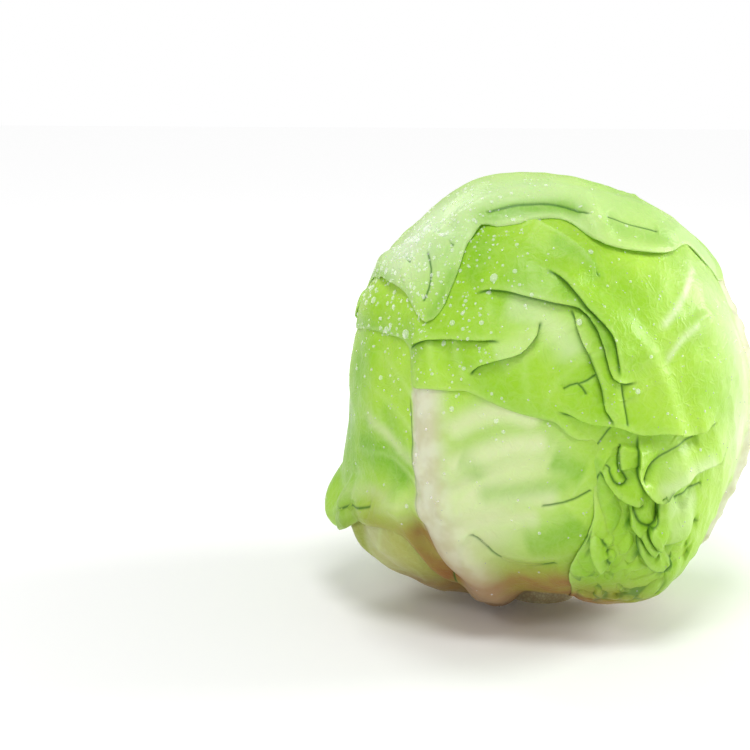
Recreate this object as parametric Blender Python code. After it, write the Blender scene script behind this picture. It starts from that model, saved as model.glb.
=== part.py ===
"""A whole head of green cabbage, standing on its trimmed stalk.

The heart is a dense ball of packed leaves. The stalk comes out under it, and eight leaves wrap round it,
each one a thin blade that lies on whatever is beneath it: the heart, then the leaves before it in the list.
Metres, +Z up, and the origin is the middle of the stalk's cut face. The front faces -Y.
"""

import math

import bmesh
import bpy
import numpy as np
from mathutils import Vector
from mathutils.bvhtree import BVHTree

# The heart, as half sizes about its centre, and how square its upper and lower halves are
HALF_WIDTH = 0.0850
HALF_DEPTH = 0.0830
HALF_TOP = 0.0865
HALF_BOTTOM = 0.0780
ROUND_TOP = 2.20
ROUND_BOTTOM = 2.80
CENTRE_HEIGHT = 0.0945

# Swellings of the whole head: azimuth, elevation, spread in degrees, height
SWELLINGS = (
    (34, -42, 24, 0.0080),
    (90, -32, 22, -0.0060),
    (-62, -44, 26, 0.0035),
    (-36, 66, 26, 0.0105),
    (44, 46, 30, 0.0035),
    (86, 24, 18, -0.0030),
    (95, -2, 26, 0.0030),
    (-90, 0, 30, -0.0020),
    (-150, -30, 35, 0.0025),
    (-102, 42, 20, -0.0060),
)

# The stalk
STALK_RADIUS = 0.0155
STALK_TOP_RADIUS = 0.0170
STALK_TOP = 0.0150
STALK_SIDES = 28

# How far from straight down the leaves keep, in degrees, so that they leave room for the stalk
STALK_ROOM = 14.3

# The leaves: blade thickness, room between leaves, and how a leaf drapes over the margin of one beneath
BLADE = 0.0012
GAP = 0.0006
CLEARANCE = 0.0004
LEAST_LIFT = 0.0002
DRAPE = 0.011
DRAPE_START = 1.15
SKIN = 0.0065
FLOOR = 0.0

# Side veins, the cap leaf's long folds and its tighter gathers, and the finer wave of a wavy margin
SIDE_VEIN_HEIGHT = 0.0016
SIDE_VEIN_WIDTH = 0.0050
FOLD_HEIGHT = 0.0044
FOLD_RUN = 0.011
GATHER_HEIGHT = 0.0052
GATHER_RUN = 0.007
FINE_WAVES = 1.7
FINE_WAVE_HEIGHT = 0.6

# The mesh: edge lengths on open blade, on a vein, on a rib and beside a fold, and how far folds draw
# vertices in
OPEN_EDGE = 0.0155
VEIN_EDGE = 0.0115
RIB_EDGE = 0.0070
FOLD_EDGE = 0.0042
FOLD_REACH = 0.0055
FOLD_DRAW = 0.0026
TOO_LONG = 1.45
LEAF_CELLS = 16
BASE_CELLS = 8
REFINE_PASSES = 5
SETTLE_PASSES = 6
SETTLE_STEPS = 4
PATH_STEP = 0.003
HEART_RINGS = 20
HEART_SEGMENTS = 32
TINY = 1e-9

# The finishes: colour and roughness
LEAF_GREEN = ((0.36, 0.62, 0.13), 0.42)
PALE_LEAF = ((0.62, 0.70, 0.36), 0.48)
CUT_STALK = ((0.78, 0.72, 0.52), 0.70)

# The photograph's viewpoint, by which the points that are read from it are placed on the head
PHOTO_SIZE = 750
FOCAL_PIXELS = 1661.0
EYE_DISTANCE = 0.75
EYE_ELEVATION = 12.0
AIM_LEFT = 0.0768
AIM_UP = 0.0059
SIGHT_STEPS = 12


def unit(v):
    """The vectors in v, each one unit long."""
    v = np.asarray(v, float)
    return v / np.linalg.norm(v, axis=-1, keepdims=True)


def faced(*angles):
    """Unit vectors from the head's centre. Azimuth 0 is the front and 90 the right, elevation is up."""
    azimuth, elevation = np.radians(np.array(angles, float)).T
    across = np.cos(elevation)
    return np.stack(
        (np.sin(azimuth) * across, -np.cos(azimuth) * across, np.sin(elevation)), axis=1
    )


def bump(d, azimuth, elevation, spread):
    """A smooth round bump of height 1 about that direction, spread degrees wide."""
    angle = np.degrees(np.arccos(np.clip(d @ faced((azimuth, elevation))[0], -1, 1)))
    return np.exp(-((angle / spread) ** 2))


def heart_radius(d):
    """How far the heart's surface is from the head's centre, in each direction."""
    across = np.hypot(d[:, 0] / HALF_WIDTH, d[:, 1] / HALF_DEPTH)
    upper = d[:, 2] > 0
    up = np.abs(d[:, 2]) / np.where(upper, HALF_TOP, HALF_BOTTOM)
    n = np.where(upper, ROUND_TOP, ROUND_BOTTOM)
    radius = (across**n + up**n) ** (-1 / n)
    for azimuth, elevation, spread, height in SWELLINGS:
        radius = radius + height * bump(d, azimuth, elevation, spread)
    return radius


def viewpoint():
    """The eye's place, seen from the head's centre, and its directions to the right, up and ahead."""
    back = faced((0, EYE_ELEVATION))[0]
    eye = back * EYE_DISTANCE
    right = np.array((1.0, 0.0, 0.0))
    up = np.cross(back, right)
    ahead = unit(up * AIM_UP - right * AIM_LEFT - eye)
    right = unit(np.cross(ahead, (0, 0, 1)))
    return eye, right, np.cross(right, ahead), ahead


def seen(*pixels, skin=SKIN):
    """Unit vectors from the head's centre to what the photograph shows at those pixels."""
    eye, right, up, ahead = viewpoint()
    offset = np.array(pixels, float) - PHOTO_SIZE / 2
    ray = unit(ahead + (offset[:, :1] * right - offset[:, 1:] * up) / FOCAL_PIXELS)
    nearest = -(ray @ eye)
    point = eye + ray * nearest[:, None]
    miss = np.linalg.norm(np.cross(ray, eye), axis=1)
    for _ in range(SIGHT_STEPS):
        radius = heart_radius(unit(point)) + skin
        reach = nearest - np.sqrt(np.maximum(radius**2 - miss**2, 0))
        point = eye + ray * reach[:, None]
    return unit(point)


def smooth_path(points, closed=False):
    """A smooth line on the unit sphere through the points, with a step of about PATH_STEP on the skin."""
    points = np.asarray(points, float)
    if closed:
        points = np.vstack((points[-1:], points, points[:2]))
    else:
        points = np.vstack((2 * points[0] - points[1], points, 2 * points[-1] - points[-2]))
    line = []
    for a, b, c, e in zip(points, points[1:], points[2:], points[3:]):
        steps = max(2, round(np.linalg.norm(c - b) * HALF_WIDTH / PATH_STEP))
        t = np.arange(steps)[:, None] / steps
        near = 2 * b + (c - a) * t + (2 * a - 5 * b + 4 * c - e) * t**2
        line.append(0.5 * near + 0.5 * (3 * b - a - 3 * c + e) * t**3)
    return unit(np.vstack([*line, points[-2:-1]]))


def beside(d, path):
    """For each direction: its distance from the path on the skin, more than 0 on the path's left, how far
    along the path that is, from 0 to 1, and the nearest point of the path."""
    best = np.full(len(d), math.inf)
    side = np.ones(len(d))
    along = np.zeros(len(d))
    nearest = np.zeros((len(d), 3))
    for i, (a, b) in enumerate(zip(path, path[1:])):
        step = b - a
        t = np.clip(((d - a) @ step) / (step @ step), 0, 1)
        foot = a + t[:, None] * step
        gap = np.linalg.norm(d - foot, axis=1)
        closer = gap < best
        best = np.where(closer, gap, best)
        side = np.where(closer, np.sign(d @ np.cross(a, b)), side)
        along = np.where(closer, (i + t) / (len(path) - 1), along)
        nearest = np.where(closer[:, None], foot, nearest)
    return best * side * (HALF_WIDTH + SKIN), along, nearest


def smooth(t):
    """0 below 0, 1 above 1, and a smooth rise between."""
    t = np.clip(t, 0, 1)
    return t * t * (3 - 2 * t)


class Tuck:
    """A fold that laps over: the blade rises in a roll on the line's left, and falls steeply to its right."""

    edge = FOLD_EDGE
    reach = FOLD_REACH
    ends = 0.16
    step = 0.0034

    def __init__(self, points, height, run):
        self.path = smooth_path(points)
        self.height = height
        self.run = run

    def relief(self, d):
        away, along, _ = beside(d, self.path)
        roll = np.exp(-np.maximum(away, 0) / self.run) * smooth(away / self.step + 0.5)
        return self.height * roll * smooth(np.minimum(along, 1 - along) / self.ends)


class Ridge:
    """A rib or vein: a rounded ridge along its line, which thins out from its first point to its last."""

    def __init__(self, points, height, width, end_height=0.0, end_width=None, edge=VEIN_EDGE):
        self.path = smooth_path(points)
        self.edge = edge
        self.height = (height, end_height)
        self.width = (width, end_width or width)
        self.reach = width

    def relief(self, d):
        away, along, _ = beside(d, self.path)
        height = self.height[0] + (self.height[1] - self.height[0]) * along
        width = self.width[0] + (self.width[1] - self.width[0]) * along
        return height * np.exp(-np.abs(away / width) ** 3)


class Swelling:
    """A round swelling of a blade, or a hollow where its height is below 0."""

    def __init__(self, azimuth, elevation, spread, height):
        self.place = (azimuth, elevation, spread)
        self.height = height

    def relief(self, d):
        return self.height * bump(d, *self.place)


class Leaf:
    """One wrapper leaf. Its outline is read along the head's skin, and goes once round its middle, which lies
    where no stretch of the outline is seen edge-on."""

    def __init__(self, name, middle, outline, rib, lift, relief=(), waves=(0, 0, 0)):
        self.name = name
        self.middle = faced(middle)[0]
        upright = np.array((0.0, 0.0, 1.0))
        self.up = unit(upright - self.middle * self.middle[2])
        self.right = np.cross(self.up, self.middle)
        self.rib = rib
        self.lift = lift
        self.features = relief
        self.waves = waves
        bearing, reach = self.polar(smooth_path(outline, closed=True))
        order = np.argsort(bearing)
        self.bearings = bearing[order]
        self.reaches = reach[order]

    def polar(self, d):
        """Bearing about the leaf's middle, and the angle from it, both in radians."""
        across, up = d @ self.right, d @ self.up
        return np.arctan2(across, up), np.arccos(np.clip(d @ self.middle, -1, 1))

    def reach(self, bearing):
        """How far the blade reaches at that bearing, with the waves of its margin."""
        count, height, start = self.waves
        plain = np.interp(bearing, self.bearings, self.reaches, period=2 * math.pi)
        wave = np.sin(count * bearing + start)
        finer = np.sin(math.floor(FINE_WAVES * count) * bearing)
        return plain + height * (wave + FINE_WAVE_HEIGHT * finer)

    def directions(self, x, y):
        """The directions that the points x, y of the unit disc stand for."""
        bearing = np.arctan2(x, y)
        angle = np.hypot(x, y) * self.reach(bearing)
        outward = np.sin(bearing)[:, None] * self.right + np.cos(bearing)[:, None] * self.up
        d = np.cos(angle)[:, None] * self.middle + np.sin(angle)[:, None] * outward
        sideways = np.hypot(d[:, 0], d[:, 1])
        least = np.where(d[:, 2] < 0, math.sin(math.radians(STALK_ROOM)), 0)
        d[:, :2] *= (np.maximum(sideways, least) / np.maximum(sideways, TINY))[:, None]
        return unit(d)

    def inside(self, d):
        """Distance inside the margin on the skin, below 0 outside it."""
        bearing, angle = self.polar(d)
        return (self.reach(bearing) - angle) * (HALF_WIDTH + SKIN)

    def cover(self, d):
        """1 where the leaf lies, and a smooth fall to 0 over the drape beyond its margin."""
        return smooth(self.inside(d) / DRAPE + DRAPE_START)

    def raised(self, d):
        """How far the underside of the blade stands off what it lies on."""
        total = np.full(len(d), self.lift)
        for feature in self.features:
            total = total + feature.relief(d)
        return np.maximum(total, LEAST_LIFT)

    def thickness(self, d):
        """The blade's thickness, rib included."""
        return BLADE + self.rib.relief(d)

    def bed(self, d, under):
        """Distance of what the leaf lies on from the head's centre."""
        radius = heart_radius(d) + GAP
        for leaf in under:
            radius = radius + leaf.cover(d) * (GAP + leaf.raised(d) + leaf.thickness(d))
        return radius


def front_leaf():
    outline = np.vstack(
        (
            faced((-80, 36), (-106, 14), (-107, -4), (-101, -16), (-95, -25), (-88, -32), (-80, -33)),
            faced((-70, -31.5), (-60, -29), (-50, -28.5), (-44, -31), (-41, -37), (-42, -46), (-46, -60)),
            faced((-45, -76), (10, -74), (34, -55), (38, -20), (30, 15), (2, 38), (-40, 46)),
        )
    )
    midrib = seen(
        (505, 592), (488, 579), (466, 559), (452, 537), (440, 508), (434, 477), (429, 435), (425, 397),
        (424, 350),
    )
    rib = Ridge(midrib, height=0.0090, width=0.0098, end_height=0.0030, end_width=0.0072, edge=RIB_EDGE)
    side_veins = (
        seen((452, 512), (482, 505), (520, 503), (558, 500), (590, 494)),
        seen((450, 476), (482, 460), (520, 453), (560, 449)),
        seen((416, 468), (389, 444), (370, 422), (360, 410)),
        seen((418, 512), (389, 496), (366, 487), (347, 487)),
    )
    relief = [Ridge(points, SIDE_VEIN_HEIGHT, SIDE_VEIN_WIDTH) for points in side_veins]
    relief += [
        Swelling(-86, -29, 13, 0.0070),
        Swelling(-8, -38, 17, 0.0040),
        Swelling(0, -14, 17, 0.0022),
    ]
    return Leaf("front_leaf", (-10, 20), outline, rib, 0.0004, relief)


def cap_leaf():
    outline = np.vstack(
        (
            seen((352, 322), (375, 330), (398, 338), (405, 352), (406, 372), (409, 387)),
            seen((428, 389), (447, 391), (462, 391), (480, 399), (500, 408), (520, 415), (541, 420)),
            seen((556, 424), (566, 434), (577, 441), (590, 443), (597, 452), (592, 466), (595, 480)),
            seen((595, 500), (595, 520), (589, 536), (580, 552), (571, 564), (569, 580), (572, 593)),
            faced((30, -77), (75, -80), (130, -74), (158, -45), (165, 0), (168, 35), (-165, 60)),
            faced((-118, 55), (-92, 36)),
        )
    )
    midrib = faced((76, -76), (80, -45), (86, -10), (94, 25), (110, 50))
    rib = Ridge(midrib, height=0.0080, width=0.0095, end_height=0.0014, end_width=0.0070, edge=RIB_EDGE)
    folds = (
        seen((601, 277), (590, 263), (582, 251), (569, 239), (546, 226), (519, 214)),
        seen((546, 268), (569, 285), (593, 312), (613, 337), (618, 359), (621, 377)),
        seen((472, 292), (487, 289), (508, 290), (531, 296), (555, 302), (575, 306), (584, 312),
             (599, 333), (607, 359), (613, 377), (625, 383), (640, 380)),
        seen((572, 307), (581, 336), (593, 362), (603, 389), (606, 409), (616, 422)),
        seen((405, 346), (423, 342), (440, 338), (467, 339), (502, 340)),
        seen((467, 375), (478, 365), (496, 359), (519, 352), (534, 336), (540, 318)),
        seen((556, 411), (572, 415), (590, 421), (616, 424), (640, 432), (666, 431), (691, 434), (709, 429),
             (724, 421)),
    )
    gathers = (
        seen((641, 433), (639, 454), (638, 470), (641, 483), (653, 497), (663, 495), (672, 486), (704, 468),
             (735, 454)),
        seen((672, 486), (664, 494), (658, 502), (658, 514), (650, 524), (648, 530), (654, 537), (664, 539),
             (690, 529), (705, 521)),
        seen((602, 472), (609, 483), (618, 494), (628, 500), (645, 504)),
        seen((629, 502), (631, 514), (631, 524), (641, 535), (648, 545), (656, 549)),
        seen((636, 531), (636, 545), (649, 562), (664, 563), (668, 549)),
        seen((590, 535), (591, 550), (597, 561), (602, 567)),
        seen((622, 444), (619, 458), (620, 472)),
    )
    side_vein = seen((716, 318), (684, 336), (657, 356), (637, 380))
    relief = [Tuck(points, FOLD_HEIGHT, FOLD_RUN) for points in folds]
    relief += [Tuck(points, GATHER_HEIGHT, GATHER_RUN) for points in gathers]
    relief += [
        Swelling(22, -38, 16, 0.0035),
        Swelling(40, -50, 15, 0.0040),
        Ridge(side_vein, SIDE_VEIN_HEIGHT, SIDE_VEIN_WIDTH),
    ]
    return Leaf("cap_leaf", (70, 30), outline, rib, 0.0010, relief)


def crown_leaf():
    outline = np.vstack(
        (
            seen((352, 305), (362, 288), (381, 279), (402, 288), (412, 305), (427, 323), (441, 313)),
            seen((449, 294), (459, 268), (467, 244), (480, 223), (496, 221), (522, 214), (540, 211)),
            seen((560, 214), (574, 221), (588, 232), (606, 243), (643, 248), (672, 247), (692, 240)),
            faced((75, 40), (104, 28), (120, 5), (128, -25), (140, -55), (170, -77)),
            faced((-165, -77), (-140, -55), (-122, -20), (-108, 6)),
        )
    )
    midrib = faced((180, -76), (180, -40), (181, 0), (183, 40), (190, 75))
    rib = Ridge(midrib, height=0.0085, width=0.0100, end_height=0.0014, end_width=0.0065, edge=RIB_EDGE)
    rolled_edge = seen(
        (467, 217), (484, 207), (511, 197), (543, 192), (569, 194), (593, 197), (628, 201), (660, 212)
    )
    spur = seen((593, 213), (601, 227), (611, 243), (643, 248), (672, 247))
    relief = (
        Ridge(rolled_edge, 0.0028, 0.0060, 0.0008),
        Ridge(spur, 0.0022, 0.0042, 0.0010),
        Tuck(seen((414, 266), (406, 266), (398, 267), (389, 271), (381, 278)), 0.0026, 0.009),
        Tuck(seen((455, 249), (447, 246), (438, 242), (427, 230)), 0.0026, 0.010),
        Ridge(faced((182, 5), (165, 20), (148, 30)), 0.0020, 0.0050),
        Ridge(faced((180, -25), (160, -12), (142, 0)), 0.0024, 0.0055),
        Ridge(faced((181, 0), (-162, 16), (-142, 28)), 0.0020, 0.0050),
        Ridge(faced((180, -30), (-160, -18), (-138, -4)), 0.0024, 0.0055),
    )
    return Leaf("crown_leaf", (180, 30), outline, rib, 0.0010, relief, (11, 0.012, 0.4))


def left_leaf():
    outline = faced(
        (-58, -70), (-52, -30), (-62, 20), (-85, 48), (-125, 58), (-165, 48), (178, 20),
        (175, -20), (178, -60), (-150, -77), (-100, -78),
    )
    midrib = faced((-118, -76), (-120, -45), (-122, -10), (-124, 25))
    rib = Ridge(midrib, height=0.0050, width=0.0085, end_height=0.0010, end_width=0.0065)
    return Leaf("left_leaf", (-118, -8), outline, rib, 0.0004, (), (9, 0.012, 1.0))


def base_leaf(number, azimuth, width, top, flare):
    """A low outer leaf, broken off short, of which the thick foot and some flared blade are left."""
    half = width / 2
    outline = faced(
        (azimuth - half, -72), (azimuth - half, -56), (azimuth - 0.8 * half, top - 4),
        (azimuth - 0.3 * half, top), (azimuth + 0.2 * half, top - 5), (azimuth + 0.7 * half, top - 1),
        (azimuth + half, -56), (azimuth + half, -72), (azimuth, -78),
    )
    midrib = faced((azimuth, -77), (azimuth, -60), (azimuth, top))
    rib = Ridge(midrib, height=0.0045, width=0.0080, end_height=0.0008, end_width=0.0060)
    relief = (Swelling(azimuth, top - 6, 15, flare),)
    return Leaf(f"base_leaf_{number}", (azimuth, -56), outline, rib, 0.0012, relief, (5, 0.02, azimuth))


# From the heart outwards
LEAVES = (
    left_leaf(),
    base_leaf(1, -84, 44, -26, 0.0075),
    base_leaf(2, -56, 36, -25, 0.0050),
    base_leaf(3, 148, 60, -40, 0.0040),
    base_leaf(4, -145, 56, -42, 0.0040),
    front_leaf(),
    cap_leaf(),
    crown_leaf(),
)


def material(name, colour, roughness):
    """A plain finish of that colour."""
    made = bpy.data.materials.new(name)
    made.use_nodes = True
    shader = made.node_tree.nodes["Principled BSDF"]
    shader.inputs["Base Color"].default_value = (*colour, 1.0)
    shader.inputs["Roughness"].default_value = roughness
    shader.inputs["Metallic"].default_value = 0.0
    return made


def add_object(name, bm, finish, collection):
    """The mesh as an object of the head, its faces pointing out."""
    bmesh.ops.recalc_face_normals(bm, faces=bm.faces)
    mesh = bpy.data.meshes.new(name)
    bm.to_mesh(mesh)
    bm.free()
    mesh.shade_smooth()
    mesh.materials.append(finish)
    made = bpy.data.objects.new(name, mesh)
    collection.objects.link(made)
    return made


def move_to(verts, d, radius):
    """Puts each vertex in its direction from the head's centre, that far out."""
    for vert, place in zip(verts, d * radius[:, None] + (0, 0, CENTRE_HEIGHT)):
        vert.co = place


def disc_directions(leaf, verts):
    """The directions of a blade's vertices, whose x and y are still places on the unit disc."""
    flat = np.array([vert.co for vert in verts])
    return leaf.directions(flat[:, 0], flat[:, 1])


def lines_of(leaf):
    """The folds and ridges of a leaf, with its rib."""
    return [f for f in (leaf.rib, *leaf.features) if hasattr(f, "path")]


def refine(bm, leaf):
    """Splits the edges that are too long for the fold or the ridge that they cross."""
    for _ in range(REFINE_PASSES):
        bmesh.ops.triangulate(bm, faces=bm.faces)
        ends = [disc_directions(leaf, [e.verts[i] for e in bm.edges]) for i in (0, 1)]
        length = np.linalg.norm(ends[0] - ends[1], axis=1) * (HALF_WIDTH + SKIN)
        middle = unit(ends[0] + ends[1])
        wanted = np.full(len(length), OPEN_EDGE)
        for line in lines_of(leaf):
            near = np.abs(beside(middle, line.path)[0]) < line.reach + length / 2
            wanted = np.where(near, np.minimum(wanted, line.edge), wanted)
        long_edges = [e for e, much in zip(bm.edges, length > TOO_LONG * wanted) if much]
        if not long_edges:
            break
        bmesh.ops.subdivide_edges(bm, edges=long_edges, cuts=1)
    bmesh.ops.triangulate(bm, faces=bm.faces)


def drawn_in(d, leaf):
    """The directions, with those close to a fold drawn in to it, so that its edge is crisp."""
    for line in lines_of(leaf):
        if isinstance(line, Tuck):
            away, _, nearest = beside(d, line.path)
            inner = smooth(leaf.inside(d) / FOLD_REACH)
            keep = 1 - inner * np.exp(-((away / FOLD_DRAW) ** 2))
            d = unit(nearest + (d - nearest) * keep[:, None])
    return d


class Pile:
    """The pieces made so far, which the next leaf has to clear."""

    def __init__(self):
        self.points = []
        self.faces = []
        self.tree = None

    def add(self, points, faces):
        first = len(self.points)
        self.points += [Vector(p) for p in points]
        self.faces += [[first + i for i in face] for face in faces]
        self.tree = BVHTree.FromPolygons(self.points, self.faces)

    def height(self, point):
        """How far out the pile reaches in the direction of that point."""
        way = Vector(point).normalized()
        hit = self.tree.ray_cast(way * 2 * HALF_WIDTH, -way)
        return hit[0].length if hit[0] else 0.0


def settle(d, radius, faces, pile):
    """The radius at each vertex, raised until no facet of the leaf is closer than CLEARANCE to the pile."""
    steps = range(SETTLE_STEPS + 1)
    corners = [(i, j, SETTLE_STEPS - i - j) for i in steps for j in steps if i + j <= SETTLE_STEPS]
    samples = np.array(corners) / SETTLE_STEPS
    radius = radius.copy()
    for _ in range(SETTLE_PASSES):
        points = d * radius[:, None]
        missing = np.zeros(len(d))
        for face in faces:
            for weights in samples:
                point = weights @ points[face]
                short = pile.height(point) + CLEARANCE - np.linalg.norm(point)
                touched = [i for i, w in zip(face, weights) if w]
                missing[touched] = np.maximum(missing[touched], short)
        sheet = BVHTree.FromPolygons([Vector(p) for p in points], faces)
        for point in pile.points:
            hit = sheet.ray_cast((0, 0, 0), point.normalized())
            if hit[0] is not None:
                short = point.length + CLEARANCE - hit[0].length
                touched = faces[hit[2]]
                missing[touched] = np.maximum(missing[touched], short)
        if missing.max() <= 0:
            break
        radius = radius + missing
    return radius


def add_leaf(leaf, under, pile, finish, collection):
    """The blade: its outer face on a disc of triangles, then the same triangles again for its underside."""
    bm = bmesh.new()
    cells = BASE_CELLS if leaf.name.startswith("base") else LEAF_CELLS
    bmesh.ops.create_grid(bm, x_segments=cells, y_segments=cells, size=1.0)
    for vert in bm.verts:
        x, y, _ = vert.co
        vert.co = (x * math.sqrt(1 - y * y / 2), y * math.sqrt(1 - x * x / 2), 0)
    refine(bm, leaf)
    bm.verts.index_update()
    d = drawn_in(disc_directions(leaf, bm.verts), leaf)
    below = leaf.bed(d, under) + leaf.raised(d)
    move_to(bm.verts, d, below + leaf.thickness(d))
    bmesh.ops.beautify_fill(bm, faces=bm.faces, edges=bm.edges, method="ANGLE")
    faces = [[v.index for v in face.verts] for face in bm.faces]
    floor = (CENTRE_HEIGHT - FLOOR) / np.maximum(-d[:, 2], TINY)
    below = settle(d, np.minimum(below, floor - BLADE), faces, pile)
    above = np.minimum(below + leaf.thickness(d), np.maximum(floor, below + BLADE))
    outer = list(bm.verts)
    move_to(outer, d, above)
    raised = bmesh.ops.extrude_face_region(bm, geom=bm.faces[:], use_keep_orig=True)
    inner = [v for v in raised["geom"] if isinstance(v, bmesh.types.BMVert)]
    places = {tuple(v.co): i for i, v in enumerate(outer)}
    order = [places[tuple(v.co)] for v in inner]
    move_to(inner, d[order], below[order])
    pile.add(d * above[:, None], faces)
    return add_object(leaf.name, bm, finish, collection)


def add_heart(pile, finish, collection):
    """The dense ball of inner leaves, flat under its foot where the stalk goes in."""
    bm = bmesh.new()
    bmesh.ops.create_uvsphere(bm, u_segments=HEART_SEGMENTS, v_segments=HEART_RINGS, radius=1.0)
    bmesh.ops.triangulate(bm, faces=bm.faces)
    bm.verts.index_update()
    d = unit([vert.co for vert in bm.verts])
    foot = (CENTRE_HEIGHT - STALK_TOP - CLEARANCE) / np.maximum(-d[:, 2], TINY)
    radius = np.minimum(heart_radius(d), foot)
    move_to(bm.verts, d, radius)
    pile.add(d * radius[:, None], [[v.index for v in face.verts] for face in bm.faces])
    return add_object("heart", bm, finish, collection)


def add_stalk(finish, collection):
    """The trimmed stalk, from its flat cut face up to the heart."""
    bm = bmesh.new()
    bmesh.ops.create_cone(
        bm,
        cap_ends=True,
        segments=STALK_SIDES,
        radius1=STALK_RADIUS,
        radius2=STALK_TOP_RADIUS,
        depth=STALK_TOP,
    )
    bmesh.ops.translate(bm, verts=bm.verts, vec=(0, 0, STALK_TOP / 2))
    return add_object("stem", bm, finish, collection)


def build():
    for old in list(bpy.data.objects):
        bpy.data.objects.remove(old)
    collection = bpy.data.collections.new("green_cabbage")
    bpy.context.scene.collection.children.link(collection)
    leaf_green = material("leaf_green", *LEAF_GREEN)
    pale_leaf = material("pale_leaf", *PALE_LEAF)
    cut_stalk = material("cut_stalk", *CUT_STALK)
    pile = Pile()
    add_heart(pile, pale_leaf, collection)
    add_stalk(cut_stalk, collection)
    for i, leaf in enumerate(LEAVES):
        add_leaf(leaf, LEAVES[:i], pile, leaf_green, collection)


build()
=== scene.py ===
"""The looks of a whole head of green cabbage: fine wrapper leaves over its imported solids.

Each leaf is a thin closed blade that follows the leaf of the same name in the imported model. Its outer face
is a fine grid with folds that lap over, veins, puffed cells and a curled margin, and its inner face is a
plainer grid. Metres, +Z up, the origin is the middle of the stalk's cut face, and the front faces -Y.
"""

import math

import bmesh
import bpy
import numpy as np
from bpy.props import FloatProperty, FloatVectorProperty, IntProperty, PointerProperty
from mathutils import Matrix, Vector
from mathutils.bvhtree import BVHTree


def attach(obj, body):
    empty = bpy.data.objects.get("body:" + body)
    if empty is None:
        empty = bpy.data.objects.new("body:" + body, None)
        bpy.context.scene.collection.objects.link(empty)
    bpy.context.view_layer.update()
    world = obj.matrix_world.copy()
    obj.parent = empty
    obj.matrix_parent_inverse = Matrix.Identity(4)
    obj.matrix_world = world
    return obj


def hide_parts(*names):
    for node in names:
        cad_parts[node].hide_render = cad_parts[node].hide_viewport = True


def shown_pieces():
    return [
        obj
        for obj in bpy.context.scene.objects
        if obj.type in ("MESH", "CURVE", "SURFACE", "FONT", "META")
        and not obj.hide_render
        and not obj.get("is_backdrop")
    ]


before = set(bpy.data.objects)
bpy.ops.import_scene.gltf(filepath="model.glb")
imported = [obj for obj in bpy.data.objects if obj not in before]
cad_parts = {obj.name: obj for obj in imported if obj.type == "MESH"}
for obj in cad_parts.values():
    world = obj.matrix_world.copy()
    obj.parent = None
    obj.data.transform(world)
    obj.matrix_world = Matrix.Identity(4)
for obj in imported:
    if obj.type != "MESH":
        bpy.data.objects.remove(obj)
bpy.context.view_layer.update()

bl_info = {
    "name": "Green cabbage",
    "version": (1, 0, 0),
    "blender": (4, 5, 0),
    "location": "View3D > Sidebar > Cabbage",
    "description": "Wraps a head of green cabbage in fine, veined and folded leaves",
    "category": "Add Mesh",
}

# The heart, as half sizes about its centre, and how square its upper and lower halves are
HALF_WIDTH = 0.0850
HALF_DEPTH = 0.0830
HALF_TOP = 0.0865
HALF_BOTTOM = 0.0780
ROUND_TOP = 2.20
ROUND_BOTTOM = 2.80
CENTRE_HEIGHT = 0.0945

# Swellings of the whole head: azimuth, elevation, spread in degrees, height
SWELLINGS = (
    (34, -42, 24, 0.0080),
    (90, -32, 22, -0.0060),
    (-62, -44, 26, 0.0035),
    (-36, 66, 26, 0.0105),
    (44, 46, 30, 0.0035),
    (86, 24, 18, -0.0030),
    (95, -2, 26, 0.0030),
    (-90, 0, 30, -0.0020),
    (-150, -30, 35, 0.0025),
    (-102, 42, 20, -0.0060),
)

# How far from straight down the leaves keep, in degrees, so that they leave room for the stalk
STALK_ROOM = 14.3

# The leaves: blade thickness, room between them, the least that one lies above the other, how it drapes
# over a margin beneath it, how far out the skin is that distances are measured on, and room above the floor
BLADE = 0.0012
GAP = 0.0006
LEAST_LIFT = 0.0002
DRAPE = 0.011
DRAPE_START = 1.15
SKIN = 0.0065
SKIN_RADIUS = HALF_WIDTH + SKIN
FLOOR_ROOM = 0.0002

# The finer waves of a margin: how many come on one main wave, and their share of its height
FINE_WAVES = 1.7
FINE_WAVE_HEIGHT = 0.6

# The unevenness of the blades: share, wavelength and seed of each set of waves, and how many are in a set
UNEVEN = ((0.7, 0.030, 11), (0.4, 0.011, 12))
WAVE_COUNT = 14

# A fold that laps over: how far its roll runs out in a fold and in a gather, a gather's share of the lap,
# how wide the steep side is, how far the lap dies out, how much of it lies beyond the line, how far the fold
# reaches, how fast it fades there, and the share of its length over which it rises at each end
FOLD_RUN = 0.011
GATHER_RUN = 0.007
GATHER_LAP = 0.8
FOLD_STEP = 0.0013
LAP_RUN = 0.0040
LAP_BACK = 0.35
FOLD_FAR = 0.045
FOLD_FADE = 3
FOLD_ENDS = 0.16

# The painted lines along folds and creases: the share of their length over which they start, the width of
# the painted shade line in a fold and in a crease, and the width and strength of the painted highlight on
# a fold's roll
LINE_ENDS = 0.06
FOLD_SHADE_WIDTH = 0.0006
CREASE_SHADE_WIDTH = 0.00045
HIGHLIGHT_WIDTH = 0.0010
HIGHLIGHT_STRENGTH = 0.4

# How far creases, ridges and bands of colour reach, in their own widths, and how a crease fades there
CREASE_FAR = 4
CREASE_FADE = 2
RIDGE_FAR = 2.6
BAND_FAR = 2.2

# Ribs and veins: how much of its colour a vein loses along it, how wide that colour is, and the width and
# sharpness of a white rib's colour on its left and right
VEIN_FADE = 0.7
VEIN_COLOUR_WIDTH = 0.8
RIB_LEFT = (1.25, 12)
RIB_RIGHT = (1.05, 3)

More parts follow.
